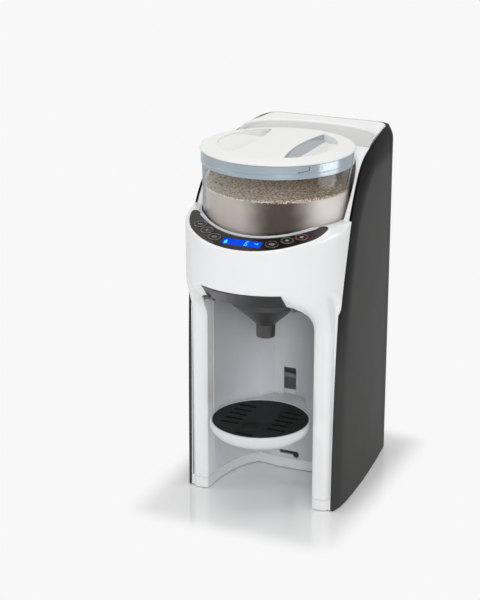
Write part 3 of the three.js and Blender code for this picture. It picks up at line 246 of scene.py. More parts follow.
side_low, side_high = measured("side_panel_right")
fit = 0.3
wall = 2.6
paint_gap = 0.4
face_radius = side_high.x
face_y = (cad_low.y - axis_y) * 1000 + face_radius
rear_y = measured("rear_shell")[1].y
rear_half = 76.5
corner_x = 56
corner_y = 122
strut_y = side_low.y
top_edge = 3
panel_end = side_high.y
panel_top = side_high.z
bevel_width = 14
panel_wall = 3
deck_z = 305
panel_slope = 0.29
panel_front_z = 290.1
lip_z = 369.5
crown_drop = 4.5
leg_x = 67
leg_half = 9.7
leg_y = -44.5
sweep_low = 194
sweep_high = 246


def mended(mesh, reach, operation):
    """Welds a mesh's points within a reach, then does one more operation on it."""
    tidy = bmesh.new()
    tidy.from_mesh(mesh)
    bmesh.ops.remove_doubles(tidy, verts=tidy.verts, dist=reach)
    operation(tidy)
    tidy.to_mesh(mesh)
    tidy.free()


def place_mesh(name, points, faces, rim=None):
    """A piece from points in millimetres about the container's axis."""
    mesh = bpy.data.meshes.new(name)
    mesh.from_pydata([(x / 1000, y / 1000 + axis_y, z / 1000) for x, y, z in points], [], faces)
    if rim:
        mesh.attributes.new("rim", "FLOAT", "POINT").data.foreach_set("value", rim)
    mended(mesh, 1e-7, lambda tidy: bmesh.ops.recalc_face_normals(tidy, faces=tidy.faces))
    return shown(name, mesh)


def skin(rings, closed=False, rim=None):
    """Rings of equal length joined one to the next, with end faces unless closed."""
    count = len(rings[0])
    faces = []
    for i in range(len(rings) if closed else len(rings) - 1):
        above = (i + 1) % len(rings) * count
        for j in range(count):
            k = (j + 1) % count
            faces.append((i * count + j, i * count + k, above + k, above + j))
    if not closed:
        faces.append(tuple(range(count)))
        faces.append(tuple((len(rings) - 1) * count + j for j in range(count)))
    return place_mesh("tool", [point for ring in rings for point in ring], faces, rim)


def raised(outline, low, high):
    """An outline in plan, drawn up from one height to another. A solid that only cuts or
    bounds another reaches well past it."""
    return skin([[(x, y, z) for x, y in outline] for z in (low, high)])


def drawn_x(outline, left=-100, right=100):
    """An outline of (y, z), drawn out along X."""
    return skin([[(x, y, z) for y, z in outline] for x in (left, right)])


def drawn_y(outline, front, back):
    """An outline of (x, z), drawn out along Y."""
    return skin([[(x, y, z) for x, z in outline] for y in (front, back)])


def rectangle(x0, x1, y0, y1):
    return [(x0, y0), (x1, y0), (x1, y1), (x0, y1)]


def box(x0, x1, y0, y1, z0, z1):
    return raised(rectangle(x0, x1, y0, y1), z0, z1)


def slab(y0, y1, z0, z1):
    """A block right across the machine and past its sides."""
    return box(-120, 120, y0, y1, z0, z1)


def turned(profile, x=0, y=0, steps=128):
    """A closed profile of (radius, height) turned about an upright axis."""
    rings = []
    for i in range(steps):
        angle = 2 * pi * i / steps
        rings.append([(x + r * cos(angle), y + r * sin(angle), z) for r, z in profile])
    return skin(rings, closed=True)


def arc(half_long, half_short, start, end, steps, x=0, y=0):
    """Points along an oval's edge from one angle to another, with both ends."""
    turns = [start + (end - start) * i / steps for i in range(steps + 1)]
    return [(x + half_long * cos(t), y + half_short * sin(t)) for t in turns]


def oval(half_long, half_short, x=0, y=0, steps=48):
    return arc(half_long, half_short, 0, 2 * pi, steps, x, y)[:-1]


def post(radius, low, high, x=0, y=0, steps=96):
    return raised(oval(radius, radius, x, y, steps), low, high)


def bend(start, near, far, end, steps=12):
    """Points along a Bezier curve, after its start."""
    found = []
    for i in range(1, steps + 1):
        t = i / steps
        s = 1 - t
        weights = (s ** 3, 3 * s * s * t, 3 * s * t * t, t ** 3)
        found.append(tuple(
            sum(w * p[k] for w, p in zip(weights, (start, near, far, end))) for k in (0, 1)))
    return found


def eased(outline, radius=0.8, steps=4):
    """Rounds an outline's corners. A third number in a corner is its own radius."""
    rounded = []
    for i, corner in enumerate(outline):
        own = corner[2] if len(corner) > 2 else radius
        here = Vector(corner[:2])
        to_last = Vector(outline[i - 1][:2]) - here
        to_next = Vector(outline[(i + 1) % len(outline)][:2]) - here
        reach = min(own, 0.45 * to_last.length, 0.45 * to_next.length)
        if reach <= 0:
            rounded.append(tuple(here))
            continue
        start = here + to_last.normalized() * reach
        end = here + to_next.normalized() * reach
        for k in range(steps + 1):
            t = k / steps
            rounded.append(tuple(start * (1 - t) ** 2 + here * 2 * t * (1 - t) + end * t ** 2))
    return rounded


def bounded(body, other, kind="INTERSECT"):
    """Cuts, keeps or joins one solid by another, which is used up."""
    step = body.modifiers.new(kind, "BOOLEAN")
    step.operation = kind
    step.solver = "MANIFOLD"
    step.object = other
    graph = bpy.context.evaluated_depsgraph_get()
    graph.update()
    mesh = bpy.data.meshes.new_from_object(body.evaluated_get(graph))
    body.modifiers.clear()
    body.data = mesh
    bpy.data.objects.remove(other)
    return body


def cut(body, *tools):
    for tool in tools:
        bounded(body, tool, "DIFFERENCE")
    return body


def joined(body, *parts):
    for part in parts:
        bounded(body, part, "UNION")
    return body


def dressed(piece, name, body, slot, material, *nodes, smooth=32, even=True):
    """Names a finished piece, smooths its shallow edges and sets it on its body."""
    piece.name = name
    mended(piece.data, 2e-6, lambda tidy: bmesh.ops.dissolve_degenerate(tidy, edges=tidy.edges, dist=2e-6))
    piece.data.name = name
    piece.data.shade_smooth()
    piece.data.set_sharp_from_angle(angle=radians(smooth))
    if even:
        step = piece.modifiers.new("even_normals", "WEIGHTED_NORMAL")
        step.keep_sharp = True
    piece.data.materials.clear()
    piece.data.materials.append(bpy.data.materials[material])
    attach(piece, body)
    if nodes:
        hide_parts(*nodes)
    return piece


def plan(inset=0, front_steps=96, side_steps=16):
    """The machine's outline from above, drawn in by an inset."""
    radius = face_radius - inset
    half = rear_half - inset
    back = rear_y - inset
    corner = corner_x - inset / 2
    quarter = front_steps // 2
    turns = [pi / 2 * i / quarter for i in range(quarter + 1)]
    right = [(radius * sin(t), face_y - radius * cos(t)) for t in turns]
    right += bend(right[-1], (radius, face_y + 56), (half + 4, corner_y - 32), (half, corner_y), side_steps)
    right += bend(right[-1], (half - 0.7, corner_y + 12), (half - 3, back), (corner, back), side_steps)
    return right + [(-x, y) for x, y in reversed(right[1:])]


def stacked(levels, inset=0, outline=plan):
    """A solid through an outline in plan, drawn in by each level's inset at its height."""
    return skin([[(x, y, z) for x, y in outline(inset + own)] for own, z in levels])


def eased_step(value, low, high):
    """0 below the low value, 1 above the high one, and a soft step between them."""
    t = min(1.0, max(0.0, (value - low) / (high - low)))
    return t * t * (3 - 2 * t)


side_line = [point for point in plan(0, 96, 48) if point[0] > corner_x and point[1] >= face_y - 1]


def half_width(y):
    """Half the machine's width at a depth."""
    if y <= face_y:
        return sqrt(max(0.0, face_radius ** 2 - (y - face_y) ** 2))
    for (x0, y0), (x1, y1) in zip(side_line, side_line[1:]):
        if y0 <= y <= y1:
            return x0 + (x1 - x0) * (y - y0) / (y1 - y0)
    return rear_half


# The line where the dark cladding meets the housing, seen from the side as (y, z).
edge_curves = [
    [(strut_y, 0), (-40.5, 110), (-37, 185), (-33, 222)],
    [(-33, 222), (-29, 250), (-22, 283), (-14, deck_z)],
    [(-14, deck_z), (-9, 314), (0, 328), (12, 339)],
    [(12, 339), (22, 348), (36, 355.5), (55, 360)],
    [(55, 360), (85, 366), (110, 367.6), (panel_end, panel_top)],
]


def panel_z(y):
    return panel_front_z + panel_slope * (y + 100)


def crown(rise, steps=14):
    """The housing's top surface seen from the side, closed well below the floor."""
    front = -130
    ridge = (deck_z - panel_front_z) / panel_slope - 100
    line = [(front, -20), (front, panel_z(front) + rise), (ridge, deck_z + rise)]
    line.append((edge_curves[2][0][0], edge_curves[2][0][1] + rise))
    for curve in edge_curves[2:]:
        line += [(y, z + rise) for y, z in bend(*curve, steps)]
    return line + [(rear_y + 30, lip_z + rise), (rear_y + 30, -20)]


def cladding(side, grow=0.0, steps=26, spans=10):
    """A dark side panel, from its bevelled edge to its rear seam. Grown, it is the room
    that the panel takes in the housing."""
    line = [edge_curves[0][0]]
    for curve in edge_curves:
        line += bend(*curve, steps)
    rings = []
    rims = []
    last = len(line) - 1
    low = side_low.z - (6 if grow else 0)
    spread = 12 if grow else 0
    for i, (y, z) in enumerate(line):
        share = i / last
        ahead = line[min(i + 1, last)]
        behind = line[max(i - 1, 0)]
        run = hypot(ahead[0] - behind[0], ahead[1] - behind[1])
        inward = ((ahead[1] - behind[1]) / run, -(ahead[0] - behind[0]) / run)
        if i == 0:
            z = low
            inward = (1, 0)
        if i == last:
            inward = (0, -1)
        seam_z = low + (panel_top - bevel_width - 10 - low) * share ** 1.6
        crowned = eased_step(y, strut_y + 20, 45)
        drop = 0.6 + (crown_drop - 0.6) * crowned
        thick = 2.4 + (top_edge - 2.4) * crowned
        start = (y - inward[0] * grow, z - inward[1] * grow)
        shoulder = (y + inward[0] * bevel_width, z + inward[1] * bevel_width)
        foot_half = half_width(min(y, panel_end))
        # Painted shade, partly a darker finish: the bevel's near-black is weak below 150 mm and full from 300
        # mm up.
        dark = 0.3 + 0.7 * min(1.0, max(0.0, z / 150 - 1))
        outer = [(start[0], foot_half - drop + spread, start[1])]
        inner = [(start[0], foot_half - drop - thick - grow, start[1])]
        rim = [dark]
        for k in [] if grow else [0.12, 0.25, 0.4, 0.6, 0.8]:
            p = tuple(start[n] + (shoulder[n] - start[n]) * k for n in (0, 1))
            width = half_width(min(p[0], panel_end))
            outer.append((p[0], width - drop * (1 - sin(k * pi / 2)), p[1]))
            inner.append((p[0], width - drop * (1 - k) - thick + (thick - panel_wall) * k, p[1]))
            rim.append(dark)
        for k in range(spans + 1):
            p = (shoulder[0] + (panel_end - shoulder[0]) * k / spans,
                 shoulder[1] + (seam_z - shoulder[1]) * k / spans)
            width = half_width(min(p[0], panel_end))
            outer.append((p[0], width + spread, p[1]))
            inner.append((p[0], width - panel_wall - grow, p[1]))
            rim.append(dark if k == 0 else 0.0)
        if grow:
            width = half_width(panel_end)
            outer.append((panel_end + 60, width + spread, seam_z))
            inner.append((panel_end + 60, width - panel_wall - grow, seam_z))
        rings.append([(side * x, y, z) for y, x, z in outer + inner[::-1]])
        rims += rim + rim[::-1]
    return skin(rings, rim=None if grow else rims)


def claddings(grow):
    return cladding(-1, grow), cladding(1, grow)


def edge_y(z):
    """The depth of the cladding's front edge at a height."""
    line = [edge_curves[0][0]] + bend(*edge_curves[0]) + bend(*edge_curves[1])
    for (y0, z0), (y1, z1) in zip(line, line[1:]):
        if z0 <= z <= z1:
            return y0 + (y1 - y0) * (z - z0) / (z1 - z0)
    return strut_y


def under_head(back=0.0, levels=20, leg_steps=8, clear=0.06):
    """What lies in front of the legs and below the head, as one solid."""
    columns = [4.0 * i for i in range(14)]
    columns += [leg_x + leg_half * k / leg_steps for k in range(-leg_steps, leg_steps + 1)]
    columns += [leg_x + leg_half + 1.2, 79, 80.5, 82, 83.5, 85, 92]
    line = [-x for x in reversed(columns[1:])] + columns
    rings = []
    for i in range(-1, levels + 1):
        share = max(i, 0) / levels
        z = -20 if i < 0 else sweep_low + (sweep_high - sweep_low) * share
        mixed = eased_step(share, 0, 1)
        front = []
        for x in line:
            leg = leg_y + 4.2 * min(abs(abs(x) - leg_x) / leg_half, 1) ** 3
            if abs(x) > leg_x + leg_half:
                leg = edge_y(z)
            head = face_y - sqrt(face_radius ** 2 - min(abs(x), face_radius - 0.5) ** 2) - clear
            here = share + (mixed - share) * eased_step(abs(x), 43, 55)
            if abs(x) > leg_x + leg_half:
                here = mixed ** 3
            front.append((x, leg + (head - leg) * here + back, z))
        rings.append([(-92, -140, z), *front, (92, -140, z)])
    return skin(rings)


bay_half = 59
bay_back_half = 35.5
bay_back_y = 41
bay_bow = 7
return_y = -28
soffit_z = 219
liner_wall = 2.4


def bay(grow=0.0, steps=20):
    """The bay from above, opened out by an amount."""
    half = bay_half + grow
    back = bay_back_half + grow
    y = bay_back_y + grow
    side = [(half, -130), (half, strut_y)]
    side += bend(side[-1], (half - 1, -5), (half - 4.5, bay_back_y - 17), (back, y), steps)
    bowed = []
    for i in range(1, 10):
        u = 1 - 2 * i / 10
        bowed.append((back * u, y - bay_bow * (1 - u * u) / 2))
    return side + bowed + [(-x, y) for x, y in reversed(side)]


def arch(steps=16):
    """The bay's front opening: straight sides and a flat top with rounded shoulders."""
    right = [(bay_half, -20), (bay_half, 203)]
    right += bend(right[-1], (bay_half, 219), (bay_half - 7, 229), (44, 229), steps)
    return right + [(-x, z) for x, z in reversed(right)]


seat_low, seat_high = measured("container_seat")
funnel_low, funnel_high = measured("funnel")
tank_low, tank_high = measured("water_tank")
seat_floor = seat_low.z
well_radius = seat_high.x + fit
well_wall = well_radius + wall
funnel_half = funnel_high.x
funnel_top = funnel_high.z
pocket_half = funnel_half + 0.6
pocket_top = funnel_top + 0.6
tank_top = tank_high.z
deck_front = 62
seam_radius = 82
crescent_outer = 83.6
crescent_inner = 78.4
crescent_tip = -48.5
tip_taper = 4.4
panel_thick = 1.8
button_spots = [spot(f"button_right_{number}")[:2] for number in (1, 2, 3)]
button_long = 7.2
button_short = 5.4
lcd_y = -87.9
lcd_half = 20.6
lcd_deep = 5.4


def button_blocks(grow):
    """Six upright ovals where the buttons stand."""
    return [raised(oval(button_long + grow, button_short + grow, side * x, y), 240, 340)
            for side in (-1, 1) for x, y in button_spots]


def lcd_block(grow):
    """An upright block where the display lies."""
    return box(-lcd_half - grow, lcd_half + grow, lcd_y - lcd_deep - grow, lcd_y + lcd_deep + grow, 240, 340)


def hollow(clear=0.0):
    """The room inside the housing."""
    room = raised(plan(paint_gap + wall + clear, 48, 8), -17, lip_z + 20)
    bounded(room, drawn_x(crown(-wall - clear, 6)))
    half = bay_half + wall + clear
    return cut(
        room, *claddings(fit + wall + clear),
        under_head(wall + clear + 0.6, 16, 4), box(-half, half, -140, return_y + clear, -25, soffit_z - 4),
        post(well_wall + clear, seat_floor - wall - fit - clear, lip_z + 30))


def tilted(low, high):
    """The slab between two heights over the sloping control surface."""
    return drawn_x([
        (-140, panel_z(-140) + low), (0, panel_z(0) + low), (0, panel_z(0) + high),
        (-140, panel_z(-140) + high)])


def crescent(outer, inner, tip, steps=80):
    """The control panel's outline: the front of the head outside the container's rim, with
    rounded tips."""
    reach = acos((face_y - tip) / outer)
    front = []
    for i in range(steps + 1):
        share = 2 * i / steps - 1
        radius = outer - tip_taper * share ** 6
        front.append((radius * sin(reach * share), face_y - radius * cos(reach * share)))
    reach = acos(-tip / inner)
    behind = []
    for i in range(steps + 1):
        share = 1 - 2 * i / steps
        radius = inner + 0.4 * tip_taper * share ** 6
        behind.append((radius * sin(reach * share), -radius * cos(reach * share)))
    near = turn_out(front[-1], behind[0])
    far = turn_out(behind[-1], front[0])
    return raised(front + near + behind + far, 200, 400)


def turn_out(start, end, steps=12, bulge=0.42):
    """A rounded end from one point to another, bowed toward the rear."""
    middle = [(start[k] + end[k]) / 2 for k in (0, 1)]
    half = [(start[k] - end[k]) / 2 for k in (0, 1)]
    depth = hypot(*half) * bulge * 2
    turns = [pi * i / steps for i in range(1, steps)]
    return [(middle[0] + half[0] * cos(t), middle[1] + half[1] * cos(t) + depth * sin(t)) for t in turns]


edge_round = 2.2
shoulder_round = 6
base_seam = measured("front_shell")[0].z
crown_rise = 0.22
crown_line = crown(crown_rise)


def crown_z(y):
    """The height of the housing's top surface at a depth."""
    for (y0, z0), (y1, z1) in zip(crown_line[1:], crown_line[2:-1]):
        if y0 <= y <= y1:
            return z0 + (z1 - z0) * (y - y0) / max(y1 - y0, 1e-6)
    return lip_z


def rounding(x, y):
    """The radius of the top edge: larger where the head's round front turns to the side."""
    turned_by = degrees(atan2(abs(x), face_y - y))
    return edge_round + shoulder_round * eased_step(turned_by, 36, 64) * (1 - eased_step(y, -34, -15))


seam_groove = 0.6
outer_rings = [
    [(x, y, base_seam) for x, y in plan(paint_gap + seam_groove)],
    [(x, y, base_seam + seam_groove) for x, y in plan(paint_gap)]]
outline = plan(paint_gap)
inward = [(u - x, v - y) for (x, y), (u, v) in zip(outline, plan(paint_gap + 1))]
for step in range(9):
    angle = pi / 2 * step / 8
    ring = []
    for (x, y), (u, v) in zip(outline, inward):
        radius = rounding(x, y)
        drawn_in = radius * (1 - cos(angle))
        ring.append((x + u * drawn_in, y + v * drawn_in, crown_z(y) - radius * (1 - sin(angle))))
    outer_rings.append(ring)
outer_rings.append([(x, y, lip_z + 30) for x, y, _ in ring])
housing = skin(outer_rings)
bounded(housing, drawn_x(crown(crown_rise + 0.01)))
bay_room = bounded(
    raised(bay(liner_wall + 0.05), -20, soffit_z + 4), slab(return_y, 100, -25, soffit_z + 5))
tank_room = cut(
    slab(deck_front, rear_y + 20, tank_top + fit, lip_z + 40),
    post(seam_radius, 200, 430, steps=160))
panel_room = bounded(
    crescent(crescent_outer + fit, crescent_inner - fit, crescent_tip + fit), tilted(-panel_thick - fit, 20))
cut(housing,
    *claddings(fit), slab(panel_end - 3, 200, -20, 420), under_head(),
    drawn_y(arch(), -141, return_y), box(-pocket_half, pocket_half, -142, return_y, 180, pocket_top),
    bay_room, post(well_radius, seat_floor - fit, 425, steps=160), post(well_radius - 8, 250, 420),
    hollow(), tank_room, panel_room, lcd_block(fit), *button_blocks(0.6))


def shade(colour, share):
    """A colour made lighter or darker by a share of itself."""
    return (*[min(1.0, part * share) for part in colour[:3]], 1)


def moulded(name, colour, roughness, grain=0.00002, grain_scale=2600, drift=0.03, edge=0.0005, **sockets):
    """Moulded plastic or metal: faint flow marks, a fine grain and softened edges."""
    paint = blank(name)
    cloud = paint.noise(26, 3)
    tone = cloud.mix(shade(colour, 1 - drift), shade(colour, 1 + drift))
    round_edge = paint.node("ShaderNodeBevel", {"samples": 4}, {"Radius": edge})
    bump = paint.node("ShaderNodeBump", None, {
        "Strength": 0.6, "Distance": grain, "Height": paint.noise(grain_scale), "Normal": round_edge})
    finish(name, Base_Color=tone, Roughness=roughness + 0.08 * (cloud - 0.5), Normal=bump, **sockets)
    return paint


moulded("gloss_white", (0.875, 0.88, 0.888), 0.24, Coat_Weight=0.3, Coat_Roughness=0.06)
dressed(housing, "housing_white", "housing", "white_shell", "gloss_white", "front_shell")


# The bay liner, one satin white wall that bends round the bay behind the legs.
# The tray's hook runs in the channel of its back wall, through a long slot. A small
# keyhole lies below the slot. The liner carries painted shade, darker toward the top and right.
slot_half = 7
hair = 0.05
liner = raised(bay(liner_wall), base_seam, soffit_z - fit)
channel = rectangle(-18.5, 18.5, 20, 150)
long_slot = rectangle(-slot_half, slot_half, 30, 118)
keyhole_z = 17.5
cut(liner,
    raised(bay(0), 0, 300), slab(-140, return_y + hair, -20, 400),
    drawn_y(eased(channel, 3), 20, bay_back_y - bay_bow / 2 + 1.2),
    drawn_y(eased(long_slot, 1.6), 18, 60),
    joined(
        drawn_y(eased(rectangle(-11, 8, keyhole_z - 0.1, keyhole_z + 3.5), 1.2), 18, 60),
        drawn_y(oval(3.6, 3.6, 8, keyhole_z + 0.1), 17, 61)))
moulded("satin_white", (0.72, 0.745, 0.775), 0.36)
# Painted shade: the liner's white is mixed toward a dark blue-grey higher up and toward the right, where the
# head shades the bay.
bay_paint = moulded("bay_satin_painted_shade", (0.72, 0.745, 0.775), 0.36)
bay_painted_shade = bay_paint.axis(2).between(0.1, 0.2) * 0.4 + bay_paint.axis(0).between(-0.02, 0.04) * 0.45
finish("bay_satin_painted_shade", Base_Color=(bay_painted_shade + 0.06 * (bay_paint.noise(26, 3) - 0.5)).mix(
    (0.74, 0.765, 0.79, 1), (0.29, 0.3, 0.32, 1)))
dressed(liner, "bay_liner_wall", "housing", "white_inner", "bay_satin_painted_shade", "bay_liner")


# The base, a white tray under the legs and the rear, with four rubber feet in sockets
# and four screws that hold it to the housing.
foot_z = side_low.z
base_top = measured("base_tray")[1].z
base = stacked((
    (1.2, foot_z), (0.5, foot_z + 0.4), (0.12, foot_z + 1), (0, foot_z + 1.8), (0, base_top - 0.9),
    (0.15, base_top - 0.4), (0.6, base_top)), paint_gap)
rear_part = cut(slab(panel_end - 3, 200, -20, 60), raised(plan(panel_wall + fit), -30, 70))
inside = bounded(hollow(), slab(-100, rear_y - panel_wall - 3, foot_z + 3.6, base_top + 5))
cut(base,
    *claddings(fit), rear_part, under_head(), raised(bay(0), -20, 60),
    cut(inside, raised(bay(wall), -20, 60)))
feet = ["foot_" + corner for corner in ("front_left", "front_right", "rear_left", "rear_right")]
screws = [f"base_screw_{number}" for number in range(1, 5)]
for nodes, gap, steps in ((feet, fit, 40), (screws, 0.4, 32)):
    for x, y, radius, top in map(spot, nodes):
        cut(base, post(radius + gap, -5, top + fit, x, y, steps))
dressed(base, "base_white", "housing", "white_shell", "gloss_white", "base_tray")


def carried(node, body, slot, material, edge=0.25, smooth=38):
    """A piece whose solid has its shape already: its edges are broken and smoothed."""
    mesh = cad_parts[node].data.copy()
    mended(mesh, 2e-6, lambda tidy: bmesh.ops.dissolve_limit(
        tidy, angle_limit=radians(1), verts=tidy.verts, edges=tidy.edges))
    piece = shown(node + "_part", mesh)
    step = piece.modifiers.new("broken_edges", "BEVEL")
    step.width = edge / 1000
    step.segments = 2
    step.limit_method = "ANGLE"
    step.angle_limit = radians(smooth)
    return dressed(piece, node + "_part", body, slot, material, node, smooth=smooth)


moulded("black_rubber", (0.02, 0.02, 0.02), 0.75, grain=0.00006, grain_scale=1500)
moulded("zinc_steel", (0.55, 0.56, 0.58), 0.32, drift=0.08, Metallic=1.0)
for node in feet:
    carried(node, "housing", "rubber_feet", "black_rubber")
for node in screws:
    carried(node, "housing", "steel_screw", "zinc_steel", edge=0.12)


# The dark cladding: two satin side panels with a broad bevel along their front and top
# edge, and a rear shell with the water-level window, vents and the inlet's hole. Near their
# top edge and along the side panels' bevel they are mixed to near-black: partly a darker
# finish, partly painted shade where the surface turns from the light.
charcoal = (0.059, 0.059, 0.058)
# Near-black for the bevel and the top edge: partly a darker finish, partly painted shade.
bevel_black_and_shade = (0.0045, 0.0045, 0.0045, 1)
top_dark_and_shade_z = panel_top - 20
top_dark_and_shade_fade = 16


def cladding_finish(name, bevelled):
    """Satin charcoal, mixed to near-black round the top edge and along a side panel's bevel: partly a darker
    finish, partly painted shade.
    """
    paint = moulded(name, charcoal, 0.46, grain=0.00003, grain_scale=3400, Specular_IOR_Level=0.06)
    dark = paint.axis(2).between((top_dark_and_shade_z - top_dark_and_shade_fade) / 1000, top_dark_and_shade_z / 1000)
    if bevelled:
        rim = paint.node("ShaderNodeAttribute", {"attribute_name": "rim"}, out=2)
        dark = paint.sum("MAXIMUM", rim.between(0.1, 0.9), dark)
    body_tone = paint.noise(18, 3).mix(shade(charcoal, 0.96), shade(charcoal, 1.05))
    finish(name, Base_Color=dark.mix(body_tone, bevel_black_and_shade))


cladding_finish("side_charcoal_and_shade", True)
cladding_finish("rear_charcoal_and_shade", False)
for side, name in ((-1, "side_panel_left"), (1, "side_panel_right")):
    dressed(cladding(side), name + "_skin", "housing", "charcoal_shell", "side_charcoal_and_shade", name)

window_half = 24
window_low = 92
window_high = 318


def window(grow):
    """The water-level window from behind, as (x, z)."""
    reach = window_half + grow
    top = arc(reach, reach, 0, pi, 24, 0, window_high - window_half)
    return top + arc(reach, reach, pi, 2 * pi, 24, 0, window_low + window_half)


bevel_z = panel_top - bevel_width
bevelled = [(crown_drop * (1 - sin(k * pi / 2)), panel_top - bevel_width * k)
            for k in (1, 0.8, 0.6, 0.4, 0.25, 0.12, 0)]
inlet_low, inlet_high = measured("power_inlet")
inlet_hole = rectangle(inlet_low.x - fit, inlet_high.x + fit, inlet_low.z - fit, inlet_high.z + fit)
rear = cut(
    stacked([(0.5, foot_z), (0, foot_z + 0.6)] + bevelled),
    stacked(((panel_wall, -20), (panel_wall, bevel_z), (crown_drop + top_edge, panel_top),
             (crown_drop + top_edge, panel_top + 20))),
    slab(-140, panel_end + fit, -40, 400), drawn_y(window(0), 140, 160),
    drawn_y(inlet_hole, 130, 160))
vent_high = 3
for vent_z in range(22, 47, 6):
    cut(rear, drawn_y(eased(rectangle(-58, -30, vent_z, vent_z + vent_high), 1.2), 140, 160))
dressed(rear, "rear_shell_skin", "housing", "charcoal_shell", "rear_charcoal_and_shade", "rear_shell")
moulded("inlet_black", (0.018, 0.018, 0.019), 0.5)
carried("power_inlet", "housing", "pump_dark", "inlet_black")


# The water tank, a smoky clear box behind the bay that lifts out for filling, with the
# valve it stands on, and the grey chassis that carries it.
tank_inset = 7.6
tank_wall = 2.2
valve_y = 116


def tank_block(inset, low, high):
    """The tank's outside, or with a larger inset its room."""
    block = stacked(((1.6, low), (0.4, low + 0.8), (0, low + 2), (0, high)), inset)
    return bounded(block, slab(tank_low.y + inset - tank_inset, 200, 0, 400))


tank = cut(
    tank_block(tank_inset, tank_low.z, tank_top),
    tank_block(tank_inset + tank_wall, tank_low.z + tank_wall, tank_top + 20),
    post(6, 0, 100, 0, valve_y, 40))


def clear_plastic(name, centre, edge_colour, haze, rim_start=0.55, roughness=0.05, coat=0.8):
    """A smoky wall: see-through face on, and darker and denser at its edges."""
    paint = blank(name)
    facing = paint.node("ShaderNodeLayerWeight", None, {"Blend": 0.5}, 1)
    edge = facing.between(rim_start, 1.0)
    cloud = paint.noise(30, 2)
    alpha = edge * (1 - haze) + haze + 0.03 * (cloud - 0.5)
    finish(name, Base_Color=edge.mix(centre, edge_colour), Alpha=alpha, Roughness=roughness + 0.03 * cloud,
        Coat_Weight=coat)


clear_plastic("smoky_tank", (0.055, 0.056, 0.058, 1), (0.02, 0.02, 0.02, 1), 0.55)
dressed(tank, "water_tank_wall", "tank", "smoke_clear", "smoky_tank", "water_tank")
moulded("grey_moulding", (0.30, 0.33, 0.35), 0.5)
moulded("chassis_grey", (0.42, 0.44, 0.46), 0.55)
carried("tank_valve", "tank", "grey_plastic", "grey_moulding")
carried("chassis", "housing", "grey_plastic", "chassis_grey")


# The tank's lid is the machine's rear deck: a shallow basin behind a rounded lip. It is
# moulded in the housing's gloss white and lies on the tank; its basin floor is painted
# darker than the lip as painted shade.
lid_inset = crown_drop + top_edge + 0.35
deck_under = measured("tank_lid")[0].z
lip_line = [(deck_front - 10, deck_under), (deck_front - 10, 359)]
lip_line += bend(lip_line[-1], (deck_front + 2, 361.5), (74, 368.6), (96, lip_z), 16)
lip_line += [(rear_y + 10, lip_z), (rear_y + 10, deck_under)]
basin_line = [(0, 420), (0, 352), (deck_front - 10, 358.4)]
basin_line += bend(basin_line[-1], (deck_front + 6, 362), (84, 364.4), (104, 365.2), 16)
basin_line += [(200, 365.6), (200, 420)]


def basin_outline(inset):
    """The shallow basin from above."""
    half = 73 - inset
    back = 121 - inset
    right = [(half, 20), (half, 80)]
    right += bend(right[-1], (half - 0.4, 106 - inset / 2), (40, back), (0, back), 24)
    return right + [(-x, y) for x, y in reversed(right[:-1])]


basin = stacked((
    (5.5, 352), (3.6, 364.5), (2.2, 365.6), (1.1, 367), (0.4, 368.6), (-0.6, 369.4), (-0.8, 420)),
    outline=basin_outline)
bounded(basin, drawn_x(basin_line))
under = bounded(
    raised(plan(tank_inset + tank_wall), deck_under - 1, deck_under + 3.4),
    slab(tank_low.y + 2, 200, 0, 400))
deck = stacked((
    (0.2, deck_under - 4), (0, 364), (0, lip_z - 2.6), (0.25, lip_z - 1.6), (0.9, lip_z - 0.7),
    (1.9, lip_z - 0.15), (3.2, lip_z + 0.05), (3.4, lip_z + 3)), lid_inset)
bounded(deck, drawn_x(lip_line))
cut(deck,
    slab(-140, deck_front + fit, 0, 430), post(seam_radius + fit, 200, 420, steps=160),
    basin, under)
deck_paint = moulded("deck_white_basin_shade", (0.86, 0.86, 0.855), 0.3)
# Painted shade: the basin's floor, below the lip, is a darker grey-white than the lip.
basin_shade_mask = deck_paint.axis(2).between((lip_z - 4) / 1000, (lip_z - 1) / 1000)
finish("deck_white_basin_shade", Base_Color=basin_shade_mask.mix(
    deck_paint.noise(22, 3).mix((0.6, 0.597, 0.58, 1), (0.62, 0.617, 0.6, 1)), (0.87, 0.87, 0.865, 1)))
dressed(deck, "deck_lid_white", "deck_lid", "white_shell", "deck_white_basin_shade", "tank_lid")


# The control panel, a glossy near-black crescent let into the head, with a blue display
# and six oval push buttons. Each button has a silver ring and a plain printed sign.
panel = cut(
    bounded(crescent(crescent_outer, crescent_inner, crescent_tip), tilted(-panel_thick, 0)),
    lcd_block(0), *button_blocks(0.4))
moulded("panel_gloss", (0.0095, 0.0058, 0.0048), 0.1, grain=0.000005, drift=0.2, Coat_Weight=0.35)
dressed(panel, "panel_crescent", "housing", "panel_black", "panel_gloss", "control_panel")
lcd = bounded(lcd_block(-fit), tilted(-7.7, -0.3))
glass = blank("display_glow")
lcd_glow = glass.noise(60, 2).mix((0.001, 0.055, 0.78, 1), (0.003, 0.075, 0.88, 1))
finish("display_glow", Base_Color=(0.001, 0.006, 0.08, 1), Emission_Color=lcd_glow, Emission_Strength=0.95,
    Roughness=0.5, Specular_IOR_Level=0.02)
dressed(lcd, "display_panel", "housing", "display_blue", "display_glow", "display_window")


def printed(strokes, x, y, low, high, name, body, slot, material):
    """Flat signs on the sloping panel, each stroke an outline about a middle point."""
    points = []
    faces = []
    for stroke in strokes:
        count = len(stroke)
        first = len(points)
        for rise in (low, high):
            points += [(x + u, y + v, panel_z(y + v) + rise) for u, v in stroke]
        faces.append(tuple(range(first + count - 1, first - 1, -1)))
        faces.append(tuple(range(first + count, first + 2 * count)))
        for j in range(count):
            k = (j + 1) % count
            faces.append((first + j, first + k, first + count + k, first + count + j))
    return dressed(place_mesh(name, points, faces), name, body, slot, material, even=False)


